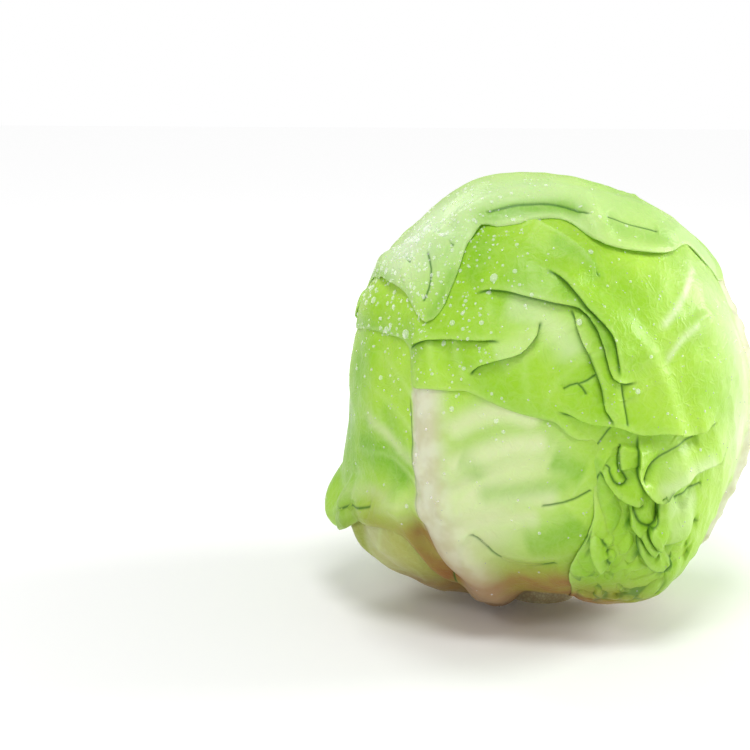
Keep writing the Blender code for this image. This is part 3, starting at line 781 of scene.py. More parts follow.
def cap_leaf(sizes):
    outline = np.vstack(
        (
            seen((352, 322), (375, 330), (398, 338), (405, 352), (406, 372), (409, 387)),
            seen((428, 389), (447, 391), (462, 391), (480, 399), (500, 408), (520, 415), (541, 420)),
            seen((556, 424), (566, 434), (577, 441), (590, 443), (597, 452), (592, 466), (595, 480)),
            seen((595, 500), (595, 520), (589, 536), (580, 552), (571, 564), (569, 580), (572, 593)),
            faced((30, -77), (75, -80), (130, -74), (158, -45), (165, 0), (168, 35), (-165, 60)),
            faced((-118, 55), (-92, 36)),
        )
    )
    midrib = faced((76, -76), (80, -45), (86, -10), (94, 25), (110, 50))
    rib = Ridge(midrib, height=0.0080, width=0.0095, end_height=0.0014, end_width=0.0070, white=0.9)
    folds = (
        seen((601, 277), (590, 263), (582, 251), (569, 239), (546, 226), (519, 214)),
        seen((546, 268), (569, 285), (593, 312), (613, 337), (618, 359), (621, 377)),
        seen((472, 292), (487, 289), (508, 290), (531, 296), (555, 302), (575, 306), (584, 312),
             (599, 333), (607, 359), (613, 377), (625, 383), (640, 380)),
        seen((572, 307), (581, 336), (593, 362), (603, 389), (606, 409), (616, 422)),
        seen((405, 346), (423, 342), (440, 338), (467, 339), (502, 340)),
        seen((467, 375), (478, 365), (496, 359), (519, 352), (534, 336), (540, 318)),
        seen((556, 411), (572, 415), (590, 421), (616, 424), (640, 432), (666, 431), (691, 434), (709, 429),
             (724, 421)),
    )
    gathers = (
        seen((641, 433), (639, 454), (638, 470), (641, 483), (653, 497), (663, 495), (672, 486), (704, 468),
             (735, 454)),
        seen((672, 486), (664, 494), (658, 502), (658, 514), (650, 524), (648, 530), (654, 537), (664, 539),
             (690, 529), (705, 521)),
        seen((602, 472), (609, 483), (618, 494), (628, 500), (645, 504)),
        seen((629, 502), (631, 514), (631, 524), (641, 535), (648, 545), (656, 549)),
        seen((636, 531), (636, 545), (649, 562), (664, 563), (668, 549)),
        seen((590, 535), (591, 550), (597, 561), (602, 567)),
        seen((622, 444), (619, 458), (620, 472)),
    )
    creases = (
        seen((622, 383), (623, 396), (626, 410), (628, 424)),
        seen((563, 389), (578, 383), (587, 395)),
        seen((578, 384), (588, 380), (596, 374)),
        seen((606, 404), (604, 390), (598, 372), (590, 352)),
        seen((674, 500), (690, 494), (708, 486)),
    )
    gather_creases = (
        seen((616, 425), (609, 432), (602, 442), (595, 453), (592, 462), (593, 471), (596, 478), (595, 488),
             (594, 505), (595, 516), (592, 528), (590, 535), (581, 549), (582, 557), (587, 567), (595, 570)),
        seen((605, 466), (610, 469), (615, 480), (622, 484), (628, 480), (622, 470), (621, 456), (621, 446)),
        seen((602, 474), (596, 486), (595, 505), (599, 521), (600, 535), (608, 546)),
        seen((616, 493), (626, 505), (627, 516), (621, 534), (612, 545)),
        seen((594, 521), (591, 535), (591, 552), (595, 562), (603, 566), (608, 560)),
        seen((606, 550), (607, 556), (612, 559), (617, 554), (615, 547), (609, 546), (606, 550)),
        seen((628, 502), (630, 512), (628, 521), (633, 528), (636, 534), (635, 544), (632, 551), (624, 562)),
        seen((633, 503), (637, 515), (641, 521), (650, 524), (656, 521), (658, 512), (660, 497)),
        seen((638, 530), (643, 538), (650, 546), (656, 550)),
        seen((647, 524), (648, 531), (655, 537), (666, 538), (684, 532), (703, 521)),
        seen((636, 534), (639, 549), (647, 560), (659, 563), (666, 556), (668, 546), (665, 538)),
        seen((669, 547), (679, 549), (690, 547)),
        seen((665, 563), (677, 555), (690, 554)),
        seen((625, 571), (633, 572), (653, 566), (664, 563)),
        seen((618, 575), (630, 580), (647, 576), (664, 569)),
        seen((600, 568), (602, 577), (609, 579), (618, 573), (617, 566)),
        seen((562, 569), (565, 578), (573, 584), (571, 591), (565, 597)),
        seen((587, 574), (589, 581), (584, 588), (595, 590)),
        seen((600, 584), (612, 584), (616, 591)),
        seen((644, 482), (650, 470), (662, 458), (680, 448), (704, 438)),
    )
    ridges = (
        seen((695, 248), (692, 274), (689, 289), (681, 304), (667, 321), (652, 340), (648, 349)),
        seen((702, 327), (689, 335), (680, 345), (671, 362), (661, 374)),
        seen((709, 314), (689, 329), (674, 343), (652, 358), (634, 377)),
        seen((455, 340), (456, 357), (461, 372), (466, 392)),
        seen((431, 344), (433, 362), (436, 380)),
        seen((532, 322), (528, 350), (524, 380), (530, 410)),
        seen((590, 318), (560, 330), (536, 352), (500, 372)),
        seen((604, 350), (580, 362), (556, 384), (544, 410)),
    )
    side_vein = seen((716, 318), (684, 336), (657, 356), (637, 380))
    relief = [Tuck(points, sizes.fold_height, FOLD_RUN, sizes.fold_lap) for points in folds]
    gather_lap = GATHER_LAP * sizes.fold_lap
    relief += [Tuck(points, sizes.gather_height, GATHER_RUN, gather_lap) for points in gathers]
    relief += [
        Swelling(24, -34, 14, 0.0035),
        Swelling(44, -43, 13, 0.0040),
        Ridge(side_vein, SIDE_VEIN_HEIGHT, SIDE_VEIN_WIDTH, colour=0.6),
    ]
    detail = [Crease(points, 0.0012, 0.0016) for points in creases]
    detail += [Crease(points, 0.0032, 0.0022) for points in gather_creases]
    detail += [Ridge(points, 0.0008, 0.0018, colour=0.7) for points in ridges]
    detail += side_veins(midrib, 0.10, 0.95, 8, 0.075, 0.0009, 0.0019)
    detail += [
        Crumple((598, 588), 6.0, 0.0060, 0.0014, 4),
        Crumple((640, 586), 5.0, 0.0066, 0.0012, 5),
    ]
    # Painted shade beside the folds, along the left margin and down the gathers
    detail += traced(
        Swath,
        (0.0035, 0.6, (601, 283), (592, 268), (580, 256), (566, 246), (546, 236)),
        (0.0030, 0.7, (548, 274), (570, 292), (590, 316), (606, 342), (612, 366)),
        (0.0060, 1.0, (354, 326), (372, 334), (396, 344), (418, 348)),
        (0.0060, 0.6, (466, 236), (480, 250), (474, 268), (462, 284)),
        (0.0035, 0.7, (598, 455), (596, 478), (597, 505), (596, 530)),
        (0.0045, 0.5, (606, 500), (618, 520), (620, 540)),
    )
    # Painted highlight on lit ridges, on the rolls between folds and on the lobes of the gathers
    detail += traced(
        Swath,
        (0.0070, 0.5, (500, 300), (536, 312), (562, 336), (580, 364)),
        (0.0050, 0.3, (492, 356), (520, 342), (532, 326)),
        (0.0016, 0.7, (700, 256), (694, 280), (682, 306), (662, 330)),
        (0.0014, 0.6, (706, 322), (686, 338), (668, 364)),
        (0.0034, 0.5, (652, 482), (664, 486), (690, 472), (722, 456)),
        (0.0040, 0.35, (662, 506), (684, 508), (704, 498)),
        (0.0036, 0.3, (664, 528), (684, 520), (700, 510)),
        light=True,
    )
    # Painted highlight where the rim light falls on the right and between the folds
    pale = (
        (78, 18, 14, 0.80), (74, -8, 12, 0.80), (62, 34, 12, 0.30), (36, -11, 5, 0.3),
    )
    # Deeper green places, partly painted shade
    deep = ((16, -38, 10, 0.8), (36, -50, 12, 0.6), (52, -44, 10, 0.6), (-44, 18, 8, 0.8), (-6, 42, 8, 0.4))
    # Painted shade and warm bounced light at the leaf's foot
    shade_and_brown = ((20, -46, 9, 0.50), (34, -54, 11, 0.65), (12, -54, 10, 0.85), (54, -54, 10, 0.5))
    return Leaf(
        "cap_leaf", (70, 30), outline, rib, 0.0010, relief, detail=detail, pale=pale, deep=deep, shade_and_brown=shade_and_brown
    )


def crown_leaf():
    outline = np.vstack(
        (
            seen((352, 305), (362, 288), (381, 279), (402, 288), (412, 305), (427, 323), (441, 313)),
            seen((449, 294), (459, 268), (467, 244), (480, 223), (496, 221), (522, 214), (540, 211)),
            seen((560, 214), (574, 221), (588, 232), (606, 243), (643, 248), (672, 247), (692, 240)),
            faced((75, 40), (104, 28), (120, 5), (128, -25), (140, -55), (170, -77)),
            faced((-165, -77), (-140, -55), (-122, -20), (-108, 6)),
        )
    )
    midrib = faced((180, -76), (180, -40), (181, 0), (183, 40), (190, 75))
    rib = Ridge(midrib, height=0.0085, width=0.0100, end_height=0.0014, end_width=0.0065, white=1.0)
    rolled_edge = seen(
        (467, 217), (484, 207), (511, 197), (543, 192), (569, 194), (593, 197), (628, 201), (660, 212)
    )
    spur = seen((593, 213), (601, 227), (611, 243), (643, 248), (672, 247))
    relief = (
        Ridge(rolled_edge, 0.0028, 0.0060, 0.0008, colour=0.5),
        Ridge(spur, 0.0022, 0.0042, 0.0010, colour=0.5),
        Tuck(seen((414, 266), (406, 266), (398, 267), (389, 271), (381, 278)), 0.0026, 0.009, 0.0018),
        Tuck(seen((455, 249), (447, 246), (438, 242), (427, 230)), 0.0026, 0.010, 0.0018),
        Ridge(faced((182, 5), (165, 20), (148, 30)), 0.0020, 0.0050, colour=0.6),
        Ridge(faced((180, -25), (160, -12), (142, 0)), 0.0024, 0.0055, colour=0.6),
        Ridge(faced((181, 0), (-162, 16), (-142, 28)), 0.0020, 0.0050, colour=0.6),
        Ridge(faced((180, -30), (-160, -18), (-138, -4)), 0.0024, 0.0055, colour=0.6),
    )
    detail = traced(
        Crease,
        (0.0012, 0.0022, (484, 213), (502, 207), (522, 203), (548, 201), (575, 206), (592, 216)),
        (0.0014, 0.0016, (384, 303), (393, 302), (402, 300)),
        (0.0008, 0.0026, (430, 256), (434, 272), (431, 290), (425, 304)),
        (0.0008, 0.0026, (606, 214), (630, 222), (660, 230)),
    )
    detail += traced(
        Ridge,
        (0.0010, 0.0020, (444, 228), (459, 215), (465, 211)),
        (0.0008, 0.0018, (400, 285), (420, 262), (440, 230), (456, 200)),
    )
    detail += side_veins(midrib, 0.10, 0.92, 9, 0.080, 0.0010, 0.0019)
    # Painted shade under the rolled edge and beside the margin at the top left
    detail += traced(
        Swath,
        (0.0032, 1.0, (466, 221), (484, 215), (511, 208), (543, 204), (569, 205), (592, 216)),
        (0.0050, 0.5, (598, 216), (620, 226), (650, 234), (676, 236)),
        (0.0028, 0.9, (426, 322), (440, 308), (450, 286), (460, 262)),
        (0.0030, 0.8, (372, 276), (390, 284), (404, 298), (420, 316)),
    )
    # Painted highlight at the top left and over the top, and the paler foot of the rib at the back
    pale = (
        (-56, 44, 15, 0.85), (-20, 62, 18, 0.45), (30, 60, 20, 0.25), (80, 44, 18, 0.45),
        (180, -60, 25, 0.6),
    )
    waves = (11, 0.012, 0.4)
    return Leaf("crown_leaf", (180, 30), outline, rib, 0.0010, relief, waves, detail, pale)


def left_leaf():
    outline = faced(
        (-58, -70), (-52, -30), (-62, 20), (-85, 48), (-125, 58), (-165, 48), (178, 20),
        (175, -20), (178, -60), (-150, -77), (-100, -78),
    )
    midrib = faced((-118, -76), (-120, -45), (-122, -10), (-124, 25))
    rib = Ridge(midrib, height=0.0050, width=0.0085, end_height=0.0010, end_width=0.0065, white=0.9)
    detail = side_veins(midrib, 0.12, 0.9, 7, 0.070, 0.0009, 0.0018)
    pale = ((-118, -62, 22, 0.6),)
    return Leaf("left_leaf", (-118, -8), outline, rib, 0.0004, (), (9, 0.012, 1.0), detail, pale)


def base_leaf(number, azimuth, width, top, flare):
    """A low outer leaf, broken off short, of which the thick foot and some flared blade are left."""
    half = width / 2
    outline = faced(
        (azimuth - half, -72), (azimuth - half, -56), (azimuth - 0.8 * half, top - 4),
        (azimuth - 0.3 * half, top), (azimuth + 0.2 * half, top - 5), (azimuth + 0.7 * half, top - 1),
        (azimuth + half, -56), (azimuth + half, -72), (azimuth, -78),
    )
    midrib = faced((azimuth, -77), (azimuth, -60), (azimuth, top))
    rib = Ridge(midrib, height=0.0045, width=0.0080, end_height=0.0008, end_width=0.0060, white=0.3)
    relief = (Swelling(azimuth, top - 6, 15, flare),)
    detail = side_veins(midrib, 0.2, 0.95, 3, 0.018, 0.0006, 0.0014, 40, 0)
    waves = (5, 0.02, azimuth)
    pale = ((azimuth, -66, 16, 0.3),)
    # Painted shade and warm bounced light, with some real browning of the broken leaf
    shade_and_brown = ((azimuth - 0.4 * half, -52, 9, 0.7), (azimuth + 0.6 * half, -62, 10, 0.8))
    return Leaf(
        f"base_leaf_{number}", (azimuth, -56), outline, rib, 0.0012, relief, waves, detail, pale, shade_and_brown=shade_and_brown
    )


def wrapping(sizes):
    """The leaves, from the heart outwards."""
    return (
        left_leaf(),
        base_leaf(1, -84, 44, -26, 0.0075),
        base_leaf(2, -56, 36, -25, 0.0050),
        base_leaf(3, 148, 60, -40, 0.0040),
        base_leaf(4, -145, 56, -42, 0.0040),
        front_leaf(),
        cap_leaf(sizes),
        crown_leaf(),
    )


def leaf_face(leaf, disc, under, sizes, outer):
    """Where a face's vertices go, and the leaf's marks there. The inner face takes the folds near the margin
    only, and runs smooth beneath them elsewhere."""
    d = leaf.directions(disc[:, 0], disc[:, 1])
    marks = Marks(len(d))
    for line in leaf.lines:
        line.mark(d, marks)
    if outer:
        for feature in leaf.detail:
            feature.mark(d, marks)
    inside = leaf.inside(d)
    share = np.ones(len(d)) if outer else 1 - smooth(inside / RIM)
    place = clear_of_stalk(unit(d + marks.shift * share[:, None]))
    raised = np.maximum(leaf.swell(d) + share * (marks.height - marks.groove), LEAST_LIFT)
    raised -= (leaf.lift + GAP) * (1 - smooth(inside / SETTLED))
    raised += sizes.margin_curl * np.exp(-np.maximum(inside, 0) / CURL_WIDTH)
    radius = bed(place, under) + raised
    if outer:
        rib = Marks(len(d))
        leaf.rib.mark(d, rib)
        marks.white = rib.white
        fine = sizes.unevenness * sum(part * ripple(d, *wave) for part, *wave in UNEVEN)
        fine += sizes.pillows * (0.5 - marks.vein_and_highlight) * (1 - marks.white)
        thin = THIN_SHARE + (1 - THIN_SHARE) * smooth(inside / THIN_EDGE)
        radius += BLADE * thin + rib.height + fine * smooth(inside / RIM)
    else:
        leaf.rib.mark(d, marks)
    floor = (CENTRE_HEIGHT - FLOOR_ROOM) / np.maximum(-place[:, 2], TINY)
    radius = np.minimum(radius, floor if outer else floor - 0.5 * BLADE)
    marks.margin = np.exp(-np.maximum(inside, 0) / THIN_EDGE)
    # Painted shade and warm bounced light towards the bottom and in the brown places, with some real
    # browning on the base leaves
    marks.foot = np.maximum(smooth((-d[:, 2] - FOOT_FROM) / FOOT_RUN), spots(d, leaf.shade_and_brown))
    # Paler places and bands: partly the blade's own paler colour, partly painted highlight
    marks.pale = np.maximum(marks.light, spots(d, leaf.pale))
    # Deeper green places and bands: partly the blade's own colour, partly painted shade
    marks.deep = np.maximum(marks.deep, spots(d, leaf.deep))
    return place * radius[:, None] + (0, 0, CENTRE_HEIGHT), marks


def spots(d, places):
    """How far each direction lies in soft round places, from 0 to 1."""
    total = sum((strength * bump(d, *place) for *place, strength in places), np.zeros(len(d)))
    return np.minimum(total, 1)


def flat_shell(leaf, lines):
    """Two square grids, one over the other and joined all round their margin. The upper one is finer, and
    finer still beside the leaf's folds and creases."""
    bm = bmesh.new()
    fine = lines * FINER
    bmesh.ops.create_grid(bm, x_segments=fine, y_segments=fine, size=1.0)
    below = Matrix.Translation((0, 0, -FLAT_DEPTH))
    inner = bmesh.ops.create_grid(bm, x_segments=lines, y_segments=lines, size=1.0, matrix=below)
    rim = {e for v in inner["verts"] for e in v.link_edges if e.is_boundary}
    bmesh.ops.subdivide_edges(bm, edges=list(rim), cuts=FINER - 1)
    bmesh.ops.bridge_loops(bm, edges=[e for e in bm.edges if e.is_boundary])
    for near in SPLIT_NEAR:
        edges = [e for e in bm.edges if min(v.co.z for v in e.verts) > -FLAT_DEPTH / 2]
        flat = np.array([(e.verts[0].co + e.verts[1].co)[:2] for e in edges]) / 2
        split = close_to_lines(leaf, leaf.directions(*disc_of(flat).T), near)
        split &= np.abs(flat).max(axis=1) < 1 - TINY
        bmesh.ops.subdivide_edges(
            bm, edges=[e for e, wanted in zip(edges, split) if wanted], cuts=1, use_grid_fill=True
        )
    return bm


def close_to_lines(leaf, d, near):
    """Whether each direction is closer than that to a fold or crease, or among puffed cells."""
    close = np.zeros(len(d), bool)
    for feature in (*leaf.lines, *leaf.detail):
        if isinstance(feature, (Tuck, Crease)):
            close |= np.abs(beside(d, feature.path, near)[0]) < 0.99 * near
        elif isinstance(feature, Crumple):
            close |= d @ feature.middle > math.cos(1.3 * feature.spread)
    return close


def disc_of(flat):
    """Points of the square from -1 to 1, rounded into a disc."""
    x, y = flat.T
    return np.stack((x * np.sqrt(1 - y * y / 2), y * np.sqrt(1 - x * x / 2)), axis=1)


def add_leaf(name, sizes, finish):
    """The leaf of that name as a closed blade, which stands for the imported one."""
    leaves = wrapping(sizes)
    number = [leaf.name for leaf in leaves].index(name)
    leaf = leaves[number]
    bm = flat_shell(leaf, BASE_INNER_LINES if name.startswith("base") else INNER_LINES)
    marks = []
    for outer in (True, False):
        verts = [v for v in bm.verts if (v.co.z > -FLAT_DEPTH / 2) == outer]
        disc = disc_of(np.array([v.co[:2] for v in verts]))
        places, marked = leaf_face(leaf, disc, leaves[:number], sizes, outer)
        marks.append((verts, places, marked))
    for verts, places, _ in marks:
        for vert, place in zip(verts, places):
            vert.co = place
    bmesh.ops.recalc_face_normals(bm, faces=bm.faces)
    bm.verts.index_update()
    order = np.concatenate([[v.index for v in verts] for verts, _, _ in marks])
    piece = add_piece(f"{name}_blade", bm, finish)
    for key in ("white", "vein_and_highlight", "crease_shade", "margin", "pale", "deep", "foot"):
        values = np.zeros(len(order), np.float32)
        values[order] = np.concatenate([getattr(marked, key) for _, _, marked in marks])
        piece.data.attributes.new(key, "FLOAT", "POINT").data.foreach_set("value", values)
    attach(piece, "root")
    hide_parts(name)
    return piece


def add_piece(name, bm, finish):
    """The mesh as an object that is shaded smooth, in place of any older one of that name."""
    older = bpy.data.objects.get(name)
    if older:
        bpy.data.objects.remove(older)
    mesh = bpy.data.meshes.new(name)
    bm.to_mesh(mesh)
    bm.free()
    mesh.shade_smooth()
    mesh.materials.append(finish)
    piece = bpy.data.objects.new(name, mesh)
    bpy.context.scene.collection.objects.link(piece)
    return piece


class Nodes:
    """Adds nodes to a material, each fed by plain values or by other nodes."""

    def __init__(self, name):
        material = bpy.data.materials.get(name) or bpy.data.materials.new(name)
        material.use_nodes = True
        self.material = material
        self.tree = material.node_tree
        self.tree.nodes.clear()
        self.shader = self.tree.nodes.new("ShaderNodeBsdfPrincipled")
        output = self.tree.nodes.new("ShaderNodeOutputMaterial")
        self.tree.links.new(self.shader.outputs[0], output.inputs[0])
        self.coordinates = self.tree.nodes.new("ShaderNodeTexCoord").outputs["Object"]

    def feed(self, socket, value):
        if isinstance(value, bpy.types.NodeSocket):
            self.tree.links.new(value, socket)
        else:
            socket.default_value = value

    def add(self, kind, settings, sockets, output=0):
        """A node with those settings, and with values for its sockets by number or name."""
        made = self.tree.nodes.new(kind)
        for key, value in settings.items():
            setattr(made, key, value)
        for key, value in sockets.items():
            self.feed(made.inputs[key], value)
        return made.outputs[output]

    def node(self, kind, output, settings=(), **inputs):
        """A node, with values for its sockets by name."""
        sockets = {key.replace("_", " "): value for key, value in inputs.items()}
        return self.add(kind, dict(settings), sockets, output)

    def attribute(self, name):
        return self.node("ShaderNodeAttribute", "Fac", {"attribute_name": name})

    def noise(self, scale, detail=3.0, where=None, roughness=0.5):
        return self.node(
            "ShaderNodeTexNoise", "Fac", Vector=where or self.coordinates, Scale=scale, Detail=detail,
            Roughness=roughness,
        )

    def cells(self, scale, where):
        """Distance from the walls of irregular cells."""
        settings = {"feature": "DISTANCE_TO_EDGE"}
        return self.node("ShaderNodeTexVoronoi", "Distance", settings, Vector=where, Scale=scale)

    def wobble(self, scale, amount):
        """The object's coordinates, pushed about by that much."""
        noise = self.node("ShaderNodeTexNoise", "Color", Vector=self.coordinates, Scale=scale, Detail=2.0)
        push = self.vector("SUBTRACT", {0: noise, 1: (0.5, 0.5, 0.5)})
        push = self.vector("SCALE", {0: push, "Scale": amount})
        return self.vector("ADD", {0: self.coordinates, 1: push})

    def vector(self, operation, sockets):
        return self.add("ShaderNodeVectorMath", {"operation": operation}, sockets)

    def span(self, value, low, high, to_low=0.0, to_high=1.0):
        """The value, spread smoothly from low..high to to_low..to_high."""
        sockets = dict(enumerate((value, low, high, to_low, to_high)))
        return self.add("ShaderNodeMapRange", {"interpolation_type": "SMOOTHSTEP"}, sockets)

    def math(self, operation, a, b):
        return self.add("ShaderNodeMath", {"operation": operation}, {0: a, 1: b})

    def mix(self, share, a, b):
        return self.add("ShaderNodeMix", {"data_type": "RGBA"}, {0: share, 6: a, 7: b}, 2)

    def tinted(self, colour, share, amount, tint):
        """The colour with that amount of the tint where the share is 1."""
        return self.mix(self.math("MULTIPLY", share, amount), colour, opaque(tint))

    def raise_by(self, height, distance, strength=1.0):
        """Small relief on the shader's normal."""
        self.feed(
            self.shader.inputs["Normal"],
            self.node("ShaderNodeBump", "Normal", Height=height, Distance=distance, Strength=strength),
        )

    def look(self, **inputs):
        for key, value in inputs.items():
            self.feed(self.shader.inputs[key.replace("_", " ")], value)


def opaque(colour):
    return (*colour, 1.0)


def leaf_finish(name, colours, green, light_green, pale):
    """Waxy leaf: green with paler veins and a white rib, painted shade in folds and creases, a painted
    highlight on fold rolls, paler and deeper places that are partly painted highlight and shade, painted
    glint specks, a paler margin with some painted rim light, and painted brown shade and warm bounced light
    at the foot.
    """
    n = Nodes(name)
    where = n.wobble(90.0, 0.012)
    coarse = n.span(n.cells(COARSE_CELLS, where), 0.0, 0.14, 1.0, 0.0)
    fine = n.span(n.cells(FINE_CELLS, where), 0.0, 0.16, 1.0, 0.0)
    tone = n.span(n.noise(24.0, 4.0), 0.32, 0.68)
    glint_specks = n.span(n.noise(FINE_CELLS, 2.0), 0.35, 0.70)
    colour = n.mix(tone, opaque(green), opaque(light_green))
    colour = n.tinted(colour, n.attribute("pale"), PLACE_TINT, pale)
    colour = n.tinted(colour, n.attribute("deep"), PLACE_TINT, colours.deep)
    colour = n.tinted(colour, coarse, COARSE_TINT, colours.vein_and_highlight)
    colour = n.tinted(colour, fine, FINE_TINT, colours.vein_and_highlight)
    # The veins' colour, with the painted highlight on fold rolls
    colour = n.tinted(colour, n.attribute("vein_and_highlight"), VEIN_AND_HIGHLIGHT_TINT, colours.vein_and_highlight)
    # Paler thin margin, partly painted rim light along the edge
    colour = n.tinted(colour, n.attribute("margin"), MARGIN_TINT, colours.vein_and_highlight)
    # Painted highlight: fine whitish specks that stand for wet glints
    colour = n.tinted(colour, glint_specks, GLINT_SPECK_TINT, colours.pale)
    # Painted brown shade and warm bounced light at the foot
    shade_and_brown = n.math("MULTIPLY", n.attribute("foot"), n.span(n.noise(90.0, 3.0), 0.2, 0.8, 0.75, 1.0))
    colour = n.mix(shade_and_brown, colour, opaque(colours.foot))
    # Painted shade in folds, creases and between puffed cells
    crease_shaded = n.tinted(colour, n.attribute("crease_shade"), CREASE_SHADE_TINT, colours.crease_shade)
    streak = n.mix(n.span(n.noise(150.0, 2.0), 0.3, 0.7), opaque(colours.rib), opaque(colours.rib_shade))
    # The rib's foot takes the same painted brown shade
    streak = n.tinted(streak, n.attribute("foot"), FOOT_SHADE_TINT, colours.foot)
    n.look(
        Base_Color=n.mix(n.attribute("white"), crease_shaded, streak),
        Roughness=n.span(n.noise(60.0, 3.0), 0.3, 0.7, *BLADE_ROUGHNESS),
        Subsurface_Weight=0.20,
        Subsurface_Radius=(0.6, 1.0, 0.3),
        Subsurface_Scale=0.0015,
        Coat_Weight=0.05,
        Coat_Roughness=0.18,
        Specular_IOR_Level=0.30,
    )
    plain = n.math("SUBTRACT", 1.0, n.attribute("white"))
    relief = n.math("MULTIPLY", n.math("ADD", coarse, n.math("MULTIPLY", fine, 0.5)), plain)
    relief = n.math("ADD", relief, n.math("MULTIPLY", n.noise(SPECKS, 2.0), 0.35))
    n.raise_by(relief, BLADE_RELIEF, 0.8)
    return n.material


def stalk_finish(colours):
    """Cut plant tissue: pale, with rings of fibre ends and a drier rim."""
    n = Nodes("cut_tissue")
    rings = n.node(
        "ShaderNodeTexWave", "Fac", {"wave_type": "RINGS", "rings_direction": "Z"},
        Vector=n.wobble(120.0, 0.004), Scale=170.0, Distortion=2.0, Detail=2.0,
    )
    pores = n.span(n.cells(620.0, n.coordinates), 0.0, 0.25, 0.55, 1.0)
    colour = n.tinted(opaque(colours.cut), rings, 0.40, colours.dry)
    n.look(Base_Color=n.mix(pores, opaque(colours.dry), colour), Roughness=0.72, Subsurface_Weight=0.1)
    n.raise_by(n.math("ADD", rings, pores), 0.0001)
    return n.material


def water_finish():
    """Water drops: glossy, white and partly seen through, with a faint painted glow that stands for their
    glints.
    """
    n = Nodes("water")
    n.look(
        Base_Color=(1, 1, 1, 1), Roughness=0.03, IOR=1.33, Alpha=0.30, Emission_Color=(1, 1, 1, 1),
        Emission_Strength=DROP_GLOW,
    )
    return n.material


def floor_finish(colours):
    """A plain matt studio floor, which is lit more evenly away from the head."""
    n = Nodes("pale_floor")
    away = n.node("ShaderNodeVectorMath", "Value", {"operation": "LENGTH"}, Vector=n.coordinates)
    n.look(
        Base_Color=opaque(colours.floor), Roughness=0.9, Emission_Color=opaque(colours.floor),
        Emission_Strength=n.span(away, *GLOW_REACH, *FLOOR_GLOW),
    )
    return n.material


def shade(red, green, blue):
    """A colour from its screen values of 0 to 255."""
    share = np.array((red, green, blue)) / 255
    linear = np.where(share > 0.04045, ((share + 0.055) / 1.055) ** 2.4, share / 12.92)
    return tuple(float(v) for v in linear)


def length(name, description, default, largest=0.02):
    return FloatProperty(
        name=name, description=description, default=default, min=0.0, max=largest, unit="LENGTH", precision=5
    )


def number(name, description, default):
    return IntProperty(name=name, description=description, default=default, min=0)


def tint(name, description, default):
    return FloatVectorProperty(
        name=name, description=description, default=default, size=3, min=0.0, max=1.0, subtype="COLOR"
    )


class CabbageSizes(bpy.types.PropertyGroup):
    fold_height: length("Fold height", "How high the long folds stand", 0.0034)
    gather_height: length("Gather height", "How high the tight gathers at the lower right stand", 0.0048)
    fold_lap: length("Fold lap", "How far a fold leans over its crease", 0.0020)
    margin_curl: length("Margin curl", "How far the leaves' margins lift", 0.0003)
    unevenness: length("Unevenness", "How uneven the blades are", 0.00035)
    pillows: length("Pillows", "How much the blade puffs up between veins", 0.0004)
    drop_size: length("Drop size", "Width of a middling water drop", 0.0013)
    mist_size: length("Mist size", "Width of a middling fine droplet", 0.0008)
    drop_count: number("Drops", "How many drops lie at the top left", 650)
    mist_count: number("Mist", "How many fine droplets lie all over", 700)


class CabbageColours(bpy.types.PropertyGroup):
    green: tint("Green", "Open blade", shade(148, 202, 24))
    light_green: tint("Light green", "Open blade where it is lighter", shade(174, 220, 60))
    # Deeper green that also stands for painted shade in valleys and under edges
    deep: tint("Deep green", "Blade where it is greenest", shade(116, 180, 0))
    # Also the colour of the painted glint specks
    pale: tint("Pale green", "Blade near the rib and in the pale places", shade(212, 226, 152))
    # Partly the blade's own paler colour, partly painted highlight on the lit pillows
    cream: tint("Cream", "The light pillows beside the front leaf's rib", shade(228, 234, 188))
    # Painted highlight: the whitish cap where the rim light falls on the right, on lit ridges and between
    # folds
    frost: tint("Frost", "The whitish places on the right", shade(236, 244, 212))
    # Painted highlight over the crown's top left and top, and the paler blade at the foot of its rib
    bloom: tint("Bloom", "The whitish bloom on the crown", shade(226, 242, 214))
    # Also the colour of the painted highlight on fold rolls
    vein_and_highlight: tint("Vein", "Veins and margins", shade(206, 234, 150))
    rib: tint("Rib", "The broad midribs", shade(220, 222, 192))
    rib_shade: tint("Rib streaks", "Streaks along the midribs", shade(206, 204, 166))
    # Painted shade in folds and creases
    crease_shade: tint("Crease", "Deep in folds and creases", shade(30, 100, 4))
    # Painted shade and warm bounced light low on the leaves, and the browning of the broken base leaves
    foot: tint("Foot", "The dull lowest parts of the leaves", shade(148, 98, 50))
    old_green: tint("Old green", "Blade of the broken base leaves", shade(146, 160, 44))
    old_light: tint("Old light green", "Lighter blade of the base leaves", shade(176, 178, 90))
    cut: tint("Cut stalk", "Fresh cut tissue", shade(226, 216, 178))
    dry: tint("Dry tissue", "Dried fibres of the cut", shade(176, 150, 104))
    floor: tint("Floor", "The floor", shade(252, 252, 252))


class LeafMaker:
    """What the operators that make leaves share."""

    bl_options = {"REGISTER", "UNDO"}
    leaves = ()
    look = ("waxy_leaf", "green", "light_green", "pale")

    def execute(self, context):
        colours = context.scene.cabbage_colours
        finish = leaf_finish(self.look[0], colours, *(getattr(colours, key) for key in self.look[1:]))
        for name in self.leaves:
            add_leaf(name, context.scene.cabbage_sizes, finish)
        return {"FINISHED"}


class CABBAGE_OT_left_leaf(LeafMaker, bpy.types.Operator):
    """Make the leaf on the left and back left"""

    bl_idname = "cabbage.left_leaf"
    bl_label = "Left leaf"
    leaves = ("left_leaf",)


class CABBAGE_OT_base_leaves(LeafMaker, bpy.types.Operator):
    """Make the broken leaves round the stalk"""

    bl_idname = "cabbage.base_leaves"
    bl_label = "Base leaves"
    leaves = ("base_leaf_1", "base_leaf_2", "base_leaf_3", "base_leaf_4")
    look = ("old_leaf", "old_green", "old_light", "pale")


